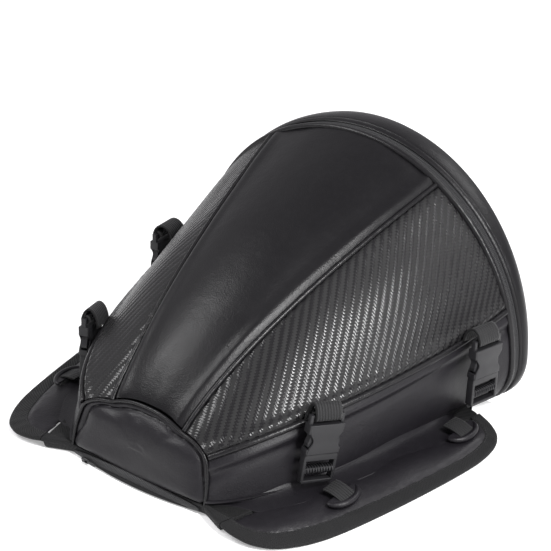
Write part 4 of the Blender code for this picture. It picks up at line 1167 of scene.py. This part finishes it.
def make_pad(side, label):
    """The wing's pad: a low cushion, full along its free edge and falling to a crease at the shell."""
    thickness = 0.0062
    outline = inset_outline(PAD_INSET)
    pad = prism(f"wing_pad_look_{label}", [[tuple(p) for p in outline]], thickness, 0.0022)
    pad.data.transform(Matrix.Translation((0, 0, thickness / 2)))
    remesh = pad.modifiers.new("remesh", "REMESH")
    remesh.mode = "VOXEL"
    remesh.voxel_size = 0.0032
    pad.data = evaluated_mesh(pad)
    pad.modifiers.clear()
    swell(pad, cap=0.0050, floor=0.0022)
    points = mesh_points(pad.data)
    fold = points[:, 0] - hinge_x(points[:, 1])
    raised = smoothstep(points[:, 2] / 0.006)
    points[:, 2] -= 0.0030 * raised * np.exp(-((fold / 0.020) ** 2))
    points[:, 2] += 0.0006 * raised * ripple(points[:, 0] * 70, points[:, 1] * 60, 61)
    # The top stays low by the fold line, and comes down to the binding round the free edge.
    limit = pad_top(fold)
    path, inwards = wing_edge_path()
    rim = path + inwards * (binding_width(path)[:, None] - PAD_INSET)
    depth = np.linalg.norm(points[:, None, :2] - rim[None], axis=2).min(axis=1)
    limit = np.minimum(limit, PAD_LOW + PAD_RISE * np.sqrt(np.clip((depth - 0.0034) / 0.014, 0, 1)))
    # Under each loop patch the pad is pressed down a little.
    for place in TIE_PLACES.values():
        distance = np.linalg.norm(points[:, :2] - place, axis=1)
        limit = np.minimum(limit, 0.0074 + 0.004 * smoothstep((distance - 0.016) / 0.02))
    points[:, 0] = np.maximum(points[:, 0], hinge_x(points[:, 1]) + 0.0003)
    points[:, 2] = np.clip(points[:, 2], 0.0001, limit)
    points[:, 0] *= side
    set_points(pad.data, droop(points, side) + SHIFT)
    if side < 0:
        pad.data.flip_normals()
    pad.data.update()
    fine = pad.modifiers.new("fine", "SUBSURF")
    fine.levels = 1
    fine.render_levels = 1
    pad.data.shade_smooth()
    finish_piece(pad, f"wing_{label}", WING_LEATHER, "smooth_leather", f"wing_pad_{label}")


def make_cove(side, label):
    """The cover's hollow run from the lower band down on to the wing's pad; its end past the fold line is
    turned down to the wing's slope.
    """
    u_start, u_end, sink = 0.03, 0.870, 0.0014
    u = np.linspace(u_start, u_end, 130)
    taper = smoothstep((u - u_start) / 0.26) * smoothstep((u_end - u) / 0.11)
    start = shell(0, u, (0.0025 + 0.0085 * taper) / chord_length(0, u)) - [0.0006, 0, 0]
    y = start[:, 1]
    edge_y = np.clip(y, HINGE_FRONT[1] + 0.004, HINGE_REAR[1] - 0.013)
    foot = start[:, 0] + 0.002
    spread = 0.0190 * taper
    reach = hinge_x(edge_y) + spread
    end_x = foot + (reach - foot) * smoothstep(taper * 3)
    end_y = edge_y + (y - edge_y) * (taper < 0.01)
    end = grid_of(end_x, end_y, pad_top(spread) - sink)
    end = np.where((end[:, :1] > hinge_x(edge_y)[:, None]), droop(end, 1), end)
    corner = grid_of(start[:, 0] + 0.0008, (y + end[:, 1]) / 2, 0.0028 + 0.0004 * taper)
    corner += (0.08 * taper)[:, None] * ((start + end) / 2 - corner)
    t = np.linspace(0, 1, 26)[None, :, None]
    points = (1 - t) ** 2 * start[:, None] + 2 * t * (1 - t) * corner[:, None] + t * t * end[:, None]
    points[..., 2] += 0.0004 * ripple(y[:, None] * 60, t[..., 0] * 4, 71 + side) * np.sin(math.pi * t[..., 0])
    cove = grid_piece(f"cove_look_{label}", on_side(points, side)[:, ::-1])
    thicken(cove, THIN_SHEET, rounded=False)
    middle = (HINGE_FRONT + HINGE_REAR) / 2 * [side, 1, 1] + SHIFT
    out = np.cross(HINGE_REAR - HINGE_FRONT, [0, 0, 1])
    out = out / np.linalg.norm(out) * [side, 1, 1] * 0.010
    body = f"wing_{label}"
    finish_bending_piece(cove, body, middle - out, middle + out, WING_LEATHER, "smooth_leather")


def make_tie(side, label, end, place):
    """A half-moon loop patch: a flat leather disc with a rolled lip and a stub of webbing in it."""
    def stand(points):
        flat = np.reshape(points, (-1, 3)) + [*place, 0.0075]
        return droop(flat * [side, 1, 1], side).reshape(np.shape(points))

    turn = np.linspace(-0.5, 0.5, 41) * math.pi
    arc = grid_of(0.0125 * np.cos(turn), 0.0175 * np.sin(turn))
    share = np.linspace(1, 0.02, 8)[:, None]
    disc = grid_of(arc[None, :, 0] * share, arc[None, :, 1] * share, 0.0026)
    patch = grid_piece(f"tie_{end}_look_{label}", stand(disc)[:, ::side])
    thicken(patch, 0.0014)
    finish_piece(patch, f"wing_{label}", WING_LEATHER, "smooth_leather", f"wing_tie_{end}_{label}")
    lip = np.column_stack([arc, 0.0022 + 0.0012 * np.cos(turn)])
    radius = 0.0009 + 0.0019 * np.sqrt(np.maximum(np.cos(turn), 0))
    roll = tube(f"tie_lip_{end}_look_{label}", stand(lip), radius, sides=12)
    finish_piece(roll, f"wing_{label}", WING_LEATHER, "smooth_leather")
    run = np.linspace(0, 1, 14)[:, None]
    wide = np.linspace(-0.009, 0.009, 9)[None, :]
    stub = grid_of(0.0095 - 0.021 * run, wide, 0.0038 + 0.0030 * np.sin(run * 2.3))
    loop = grid_piece(f"tie_webbing_{end}_look_{label}", stand(stub)[:, ::-side])
    thicken(loop, PATCH_SHEET)
    finish_piece(loop, f"wing_{label}", WEBBING, "webbing")


# ---------------------------------------------------------------- buckles
STRAP_HALF = 0.0122
JOINTS = {joint["name"]: joint for joint in frame["record"]["behaviour"]["joints"]}
FEMALE_BOTTOM = -0.0326
SOCKET_HALF = 0.0165
SOCKET_MOUTH = 0.0137


def buckle_frame(corner):
    """The buckle's own frame: X across it, Y out from the bag, Z up, on its bar."""
    across = Vector(JOINTS[f"buckle_swing_{corner}"]["axis"])
    up = -Vector(JOINTS[f"buckle_release_{corner}"]["axis"])
    out = up.cross(across)
    matrix = Matrix((across, out, up)).transposed().to_4x4()
    matrix.translation = JOINTS[f"buckle_swing_{corner}"]["pos_m"]
    return matrix


def mirrored_outline(half):
    """One side of an outline, then the other in the opposite order."""
    return half + [(-x, z) for x, z in reversed(half)]


def rectangle(x_low, x_high, z_low, z_high):
    """A rectangle's outline."""
    return [(x_low, z_low), (x_high, z_low), (x_high, z_high), (x_low, z_high)]


def plate(outlines, depth, bevel, y=0.0):
    """An upright plate in the buckle's own frame."""
    return prism("plate", outlines, depth, bevel, 3, Matrix.Translation((0, y, 0)) @ UPRIGHT)


def make_female_look(corner):
    """The socket: two waisted plates on a solid head, side cheeks at the mouth, ears and the bar."""
    low, top, half, mouth = FEMALE_BOTTOM, -0.0056, SOCKET_HALF, SOCKET_MOUTH
    share = np.linspace(0, 1, 27)
    waist = half - 0.0012 + 0.0008 * share - 0.0042 * hump(share, 0.44, 0.20)
    side = list(zip(waist, low + share * (top - low)))
    pieces = [plate([mirrored_outline(side)], 0.0020, 0.0008, y) for y in (0.0040, -0.0040)]
    shoulder, inside = low + 0.0190, low + 0.0222
    head = [(half, shoulder), (half, top), (-half, top), (-half, shoulder)]
    head += [(-mouth, shoulder), (-mouth, inside), (mouth, inside), (mouth, shoulder)]
    pieces.append(plate([head], 0.0094, 0.0009))
    for sign in (1, -1):
        cheek = sorted((sign * mouth, sign * 0.0160))
        pieces.append(plate([rectangle(*cheek, low + 0.0002, low + 0.0050)], 0.0086, 0.0007))
        ear = sorted((sign * 0.0130, sign * 0.0162))
        pieces.append(plate([rectangle(*ear, top - 0.002, 0.0024)], 0.0050, 0.0010))
    across = np.linspace(-0.0140, 0.0140, 5)
    pieces.append(tube("bar", grid_of(across, 0, 0), 0.0016, sides=14, home=False))
    obj = joined(f"buckle_female_look_{corner}", pieces)
    obj.data.transform(buckle_frame(corner))
    finish_piece(obj, f"socket_{corner}", PLASTIC, "buckle_plastic", f"buckle_female_{corner}")


def make_male_look(corner):
    """The prong half's base: guide tongue, ladder lock with its ribbed bar, and the lifted foot."""
    top = FEMALE_BOTTOM - 0.0004
    bottom = top - 0.026
    slot_half, rib_pitch = 0.0031, 0.0026
    half = [(0.0145, bottom), (0.0160, bottom + 0.0020), (0.0158, top - 0.003), (0.0152, top)]
    middles = (top - 0.0091, top - 0.0201)
    slots = [rectangle(-0.0130, 0.0130, z - slot_half, z + slot_half) for z in middles]
    pieces = [plate([mirrored_outline(half), *slots], 0.0074, 0.0009)]
    pieces.append(plate([rectangle(-0.003, 0.003, top - 0.002, top + 0.022)], 0.0046, 0.0009))
    across = np.linspace(-0.0128, 0.0128, 105)
    teeth = 0.0040 + 0.0010 * np.sign(np.sin(across * 2 * math.pi / rib_pitch))
    ribs = grid_of(across, 0, top - 0.0146)
    pieces.append(tube("ribs", ribs, teeth, sides=16, flatten=0.72, up=(0, 0, 1), home=False))
    obj = joined(f"buckle_male_look_{corner}", pieces)
    obj.data.transform(buckle_frame(corner))
    finish_piece(obj, f"clip_{corner}", PLASTIC, "buckle_plastic", f"buckle_male_{corner}")


def make_tab_look(corner, side, u):
    """The folded webbing tab: out of the seam, over, and round the bar."""
    clearance, ring_radius = 0.008, 0.0032
    matrix = buckle_frame(corner)
    seam = Vector((bezier(FEATURE_LINES[1], np.array(u)) * [side, 1, 1] + SHIFT).tolist())
    out = matrix.col[1].xyz
    level = Vector((out.x, out.y, 0)).normalized()
    bar = matrix.translation
    reach, rise = (bar - seam).dot(level), bar.z - seam.z
    start = np.array([0.0030 - reach, 0.0010 - rise])
    top = max(clearance, rise + clearance)
    control = [start, start + [0.001, top + 0.001], [-0.0010, top - rise + 0.0095], [ring_radius, 0.0010]]
    turn = np.linspace(0.20, -4.6, 30)
    ring = ring_radius * grid_of(np.cos(turn), np.sin(turn))
    path = np.concatenate([bezier(control, np.linspace(0, 1, 22)), ring])
    wide = np.linspace(-STRAP_HALF, STRAP_HALF, 13)[None]
    points = grid_of(wide, path[:, :1], path[:, 1:])
    tab = grid_piece(f"webbing_tab_look_{corner}", points, home=False)
    tab.data.transform(matrix)
    strip = tab.modifiers.new("thickness", "SOLIDIFY")
    strip.thickness = 0.0018
    strip.offset = 0
    root = bar + level * (0.0040 - reach) + Vector((0, 0, 0.002 - rise))
    tip = bar + Vector((0, 0, 0.003))
    finish_bending_piece(tab, f"tab_{corner}", root, tip, WEBBING, "webbing", f"webbing_tab_{corner}")


# ---------------------------------------------------------------- door fittings, straps and lining
HANDLE_Z = 0.163
PATCH_X = 0.0575
HANDLE_HALF = 0.062
HANDLE_REACH = 0.022425
DOOR_HINGE_Y = RIM_Y + 0.00765
STAY_HALF_X = 0.108
STAY_BAG = (RIM_Y - 0.012, 0.153)
STAY_DOOR_Z = 0.070
STAY_OPEN_ANGLE = math.radians(92)
LINING_OFFSET = 0.0060
POCKET_START = (-0.075, 0.125)
POCKET_END = (0.105, 0.085)
INSIDE = np.array([0, 0.170, 0.060])


def make_handle():
    """The carry handle: padded webbing arched off the door, each end under a sewn leather patch."""
    slope = 2 * DOOR_LEAN * HANDLE_Z / DOOR_HEIGHT**2
    rear = door_rear_y(HANDLE_Z)
    x = np.linspace(-HANDLE_HALF, HANDLE_HALF, 90)[:, None]
    share = 1 - np.abs(x) / HANDLE_HALF
    rise = smoothstep(share / 0.42)
    turn = np.linspace(0, 2 * math.pi, 28, endpoint=False)[None, :]
    wide = 0.0108 - 0.0016 * smoothstep(share / 0.5)
    thick = 0.0010 + 0.0021 * smoothstep(share / 0.35)
    z = wide * np.sign(np.cos(turn)) * np.abs(np.cos(turn)) ** 0.6
    y = thick * np.sign(np.sin(turn)) * np.abs(np.sin(turn)) ** 0.7
    y = y + 0.0048 + HANDLE_REACH * rise + 0.0003 * ripple(x * 130, turn, 81)
    points = grid_of(x, rear + y + slope * z, HANDLE_Z + z)
    handle = grid_piece("carry_handle_look", start_cap(points), wrap_columns=True)
    finish_piece(handle, "door", WEBBING, "webbing", "carry_handle")
    outline = np.array(rounded_box(0.0095, 0.0138, 0.0035))
    sewn = outline * [0.80, 0.86]
    sewn = np.concatenate([sewn, sewn[:1]])
    for side, label in SIDES:
        sheet = []
        for size in (1, 0.8, 0.5, 0.02):
            spot = outline * size
            height = 0.0052 + 0.0014 * (1 - size**2) * (np.abs(spot[:, 1]) < 0.012)
            y = rear + height + slope * spot[:, 1]
            sheet.append(grid_of(side * PATCH_X + spot[:, 0], y, HANDLE_Z + spot[:, 1]))
        patch = grid_piece(f"handle_patch_look_{label}", np.array(sheet)[:, ::-1], wrap_columns=True)
        thicken(patch, PATCH_SHEET)
        finish_piece(patch, "door", LEATHER, "smooth_leather")
        line = grid_of(side * PATCH_X + sewn[:, 0], rear + 0.0061 + slope * sewn[:, 1], HANDLE_Z + sewn[:, 1])
        thread = stitches(f"handle_stitching_look_{label}", [(line, np.tile([0, 1.0, 0], (len(line), 1)))])
        finish_piece(thread, "door", THREAD, "webbing")


def make_stay_straps():
    """Flat webbing from the shell's edge to the door's lining.

    Its height at rest is such that, with the door open, the webbing runs straight between its ends.
    """
    share = np.linspace(0, 1, 60)
    angle = smoothstep(share) * STAY_OPEN_ANGLE
    spread = STAY_DOOR_Z * np.sin(STAY_OPEN_ANGLE - angle) + STAY_BAG[1] * np.sin(angle)
    z = STAY_BAG[1] * STAY_DOOR_Z * math.sin(STAY_OPEN_ANGLE) / spread
    door_y = door_rear_y(STAY_DOOR_Z) - LINING_OFFSET - 0.0032
    y = STAY_BAG[0] + (door_y - STAY_BAG[0]) * share
    level = 0.1
    for side, label in SIDES:
        across = side * STAY_HALF_X + np.linspace(-0.0123, 0.0123, 9)
        strap = grid_piece(f"stay_strap_look_{label}", grid_of(across[None], y[:, None], z[:, None]))
        thicken(strap, THIN_SHEET, rounded=False)
        start = np.array([side * STAY_HALF_X, STAY_BAG[0], level]) + SHIFT
        end = np.array([side * STAY_HALF_X, door_y, level]) + SHIFT
        finish_bending_piece(strap, "door", start, end, WEBBING, "webbing", f"stay_strap_{label}")


def make_hinge_strip():
    """The cloth strip at the flat edge."""
    x = np.linspace(-0.142, 0.142, 90)[:, None]
    y = DOOR_HINGE_Y + np.linspace(-0.0068, 0.0064, 14)[None, :]
    z = 0.0037 + 0.0002 * ripple(x * 160, y * 300, 91)
    strip = grid_piece("hinge_strip_look", grid_of(x, y, z))
    thicken(strip, THIN_SHEET, rounded=False)
    half_bend = np.array([0, 0.005, 0])
    line = np.array([0, DOOR_HINGE_Y, 0.003]) + SHIFT
    finish_bending_piece(strip, "door", line - half_bend, line + half_bend, BINDING, "lining", "hinge_strip")


def make_lining(node_name, body, rounding):
    """A sewn lining: the CAD sheet's shape, subdivided, with slack folds that only lean into the bag."""
    lining = link(f"{node_name}_look", NODES[node_name].data.copy())
    mend(lining.data, weld=10 * WELD, recalc=False)
    fine = lining.modifiers.new("fine", "SUBSURF")
    fine.levels = 2
    fine.subdivision_type = rounding
    lining.data = evaluated_mesh(lining)
    lining.modifiers.clear()
    points = mesh_points(lining.data)
    inwards = INSIDE + SHIFT - points
    inwards /= np.linalg.norm(inwards, axis=1, keepdims=True)
    folds = ripple(points[:, 0] * 70 + points[:, 2] * 45, points[:, 1] * 60, 101)
    points += inwards * (0.0012 * (0.8 + folds))[:, None]
    set_points(lining.data, points)
    lining.data.update()
    smooth(lining.data, 60)
    finish_piece(lining, body, LINING, "lining", node_name)


def make_door_pocket():
    """The closed zip of the phone pocket, slanting across the door's lining."""
    half = 0.005
    start, span = np.array(POCKET_START), np.subtract(POCKET_END, POCKET_START)
    along = span / np.linalg.norm(span)
    run = np.linspace(0, 1, 120)[:, None]
    wide = np.linspace(-half, half, 9)[None, :]
    x = start[0] + span[0] * run - along[1] * wide
    z = start[1] + span[1] * run + along[0] * wide
    y = door_rear_y(z) - LINING_OFFSET - 0.0034 + 0.0006 * np.abs(wide) / half
    strip = grid_piece("door_pocket_zip_look", grid_of(x, y, z))
    thicken(strip, THIN_SHEET, rounded=False)
    finish_piece(strip, "door", ZIPPER, "zip_tape", "door_pocket_zip")


def node_middle(name):
    """The middle of a CAD node's box."""
    low, high = (Vector(v) for v in NODE_BOXES[name])
    return (low + high) / 2


def make_main_slider():
    """The main zip's slider, two waisted plates with a bridge on them, and its slotted pull tab."""
    share = np.linspace(-1, 1, 15)
    waist = 0.0036 - 0.0009 * hump(share, 0, 0.4) + 0.0001 * share
    half = list(zip(0.0062 * share, waist))
    outline = half + [(x, -y) for x, y in reversed(half)]
    places = [Matrix.Translation((0, 0, z)) for z in (0.0011, -0.0017)]
    pieces = [prism("plate", [outline], 0.0014, 0.0005, 3, place) for place in places]
    pieces.append(prism("core", [rectangle(-0.0045, 0.0030, -0.0012, 0.0012)], 0.0030, 0.0003))
    rise = 0.0008 + 0.0003 * np.sin(np.linspace(0, math.pi, 14))
    arch = grid_of(np.linspace(-0.0042, 0.0042, 14), 0, rise)
    pieces.append(tube("bridge", arch, 0.0008, sides=10, home=False))
    slider = joined("main_zip_slider_look", pieces)
    turn = Matrix.Rotation(math.radians(-87), 4, "Y")
    slider.data.transform(Matrix.Translation(node_middle("main_zip_slider")) @ turn)
    finish_piece(slider, "main_slider", ENAMEL, "zip_metal", "main_zip_slider")
    tab = list(zip(0.0128 * share, 0.0024 + 0.0003 * share * share - 0.0004 * share))
    outline = tab + [(x, -y) for x, y in reversed(tab)]
    slot = [(x - 0.0045, y) for x, y in rounded_box(0.0052, 0.0010, 0.0009)]
    eye = [(x + 0.0100, y) for x, y in rounded_box(0.0014, 0.0012, 0.0008)]
    pull = prism("main_zip_pull_look", [outline, slot, eye], 0.0013, 0.0004, 3)
    turn = Matrix.Rotation(-math.pi / 2, 4, "Y")
    pull.data.transform(Matrix.Translation(node_middle("main_zip_pull")) @ turn)
    finish_piece(pull, "main_pull", ENAMEL, "zip_metal", "main_zip_pull")


# ---------------------------------------------------------------- kept nodes, stage and camera
def dress_kept_nodes():
    """The CAD nodes that stay as they are get their material, and the buckles' prongs soft edges."""
    looks = {
        "base_board": (BOARD, "stiffener"),
        "door_board": (BOARD, "stiffener"),
        "door_pocket_slider": (ENAMEL, "zip_metal"),
    }
    for name, node in NODES.items():
        if node.hide_render:
            continue
        if name.startswith("buckle_"):
            material, slot = PLASTIC, "buckle_plastic"
            edge = node.modifiers.new("edge", "BEVEL")
            edge.width = 0.0005
            edge.segments = 2
            edge.limit_method = "ANGLE"
        else:
            material, slot = looks[name]
        node.data.materials.clear()
        node.data.materials.append(material)


def area_light(name, direction, distance, size, energy, target):
    """A rectangular light, this far from its target in this direction."""
    light = bpy.data.lights.new(name, "AREA")
    light.shape = "RECTANGLE"
    light.size, light.size_y = size
    light.energy = energy
    obj = link(name, light)
    aim = Vector(direction).normalized()
    obj.location = Vector(target) + aim * distance
    obj.rotation_euler = (-aim).to_track_quat("-Z", "Y").to_euler()


FLOOR_STEP = 0.052
FLOOR_REACH = 6


def make_stage():
    """A pale floor, lower behind the door's hinge so that the door has room to hang open, and soft lights."""
    edge = DOOR_HINGE_Y + SHIFT[1] - 0.002
    floor = bpy.data.meshes.new("floor")
    rows = [(-FLOOR_REACH, 0), (edge, 0), (edge, -FLOOR_STEP), (FLOOR_REACH, -FLOOR_STEP)]
    corners = [(x, y, z) for y, z in rows for x in (-FLOOR_REACH, FLOOR_REACH)]
    floor.from_pydata(corners, [], [(2 * i, 2 * i + 1, 2 * i + 3, 2 * i + 2) for i in range(3)])
    floor.materials.append(pale_floor())
    link("floor", floor)
    middle = (0, 0, 0.08)
    area_light("left_softbox", (-0.54, -0.40, 0.74), 1.7, (0.7, 0.7), 17, middle)
    area_light("right_softbox", (0.88, -0.16, 0.46), 1.7, (0.5, 0.5), 20, middle)
    area_light("back_softbox", (0.35, 0.80, 0.75), 1.9, (1.0, 0.6), 11, middle)
    area_light("strip_light", (0.61, -0.17, 0.77), 1.3, (0.10, 0.34), 19, (0.11, -0.037, 0.093))
    world = bpy.data.worlds.new("studio")
    world.use_nodes = True
    background = world.node_tree.nodes["Background"].inputs
    background["Color"].default_value = (1, 0.98, 1.02, 1)
    background["Strength"].default_value = 0.52
    bpy.context.scene.world = world
    bpy.context.scene.view_settings.view_transform = "Standard"


def make_camera():
    """The viewpoint: to the bag's right front and above it, with a long lens."""
    azimuth, elevation, distance = math.radians(39.1), math.radians(26.2), 1.445184
    target = Vector((0.03168, 0.144, 0.14112)) + Vector(SHIFT)
    level = math.cos(elevation)
    away = Vector((math.sin(azimuth) * level, -math.cos(azimuth) * level, math.sin(elevation)))
    data = bpy.data.cameras.new("camera")
    data.sensor_width = 36.0
    data.lens = 111.87
    data.clip_start = 0.05
    obj = link("camera", data)
    obj.location = target + away * distance
    obj.rotation_euler = (-away).to_track_quat("-Z", "Y").to_euler()
    bpy.context.scene.camera = obj


make_shell()
make_nose()
make_nose_slider()
make_base()
make_rim()
make_door_wall()
make_door_panel()
for wing_side, wing_label in SIDES:
    make_binding(wing_side, wing_label)
    make_pad(wing_side, wing_label)
    make_cove(wing_side, wing_label)
    for tie_end, tie_place in TIE_PLACES.items():
        make_tie(wing_side, wing_label, tie_end, tie_place)
for buckle_corner, buckle_side, buckle_u in BUCKLES:
    make_female_look(buckle_corner)
    make_male_look(buckle_corner)
    make_tab_look(buckle_corner, buckle_side, buckle_u)
make_handle()
make_stay_straps()
make_hinge_strip()
make_lining("liner", "bag", "CATMULL_CLARK")
make_lining("door_lining", "door", "SIMPLE")
make_door_pocket()
make_main_slider()
dress_kept_nodes()
make_stage()
make_camera()
bpy.context.view_layer.update()
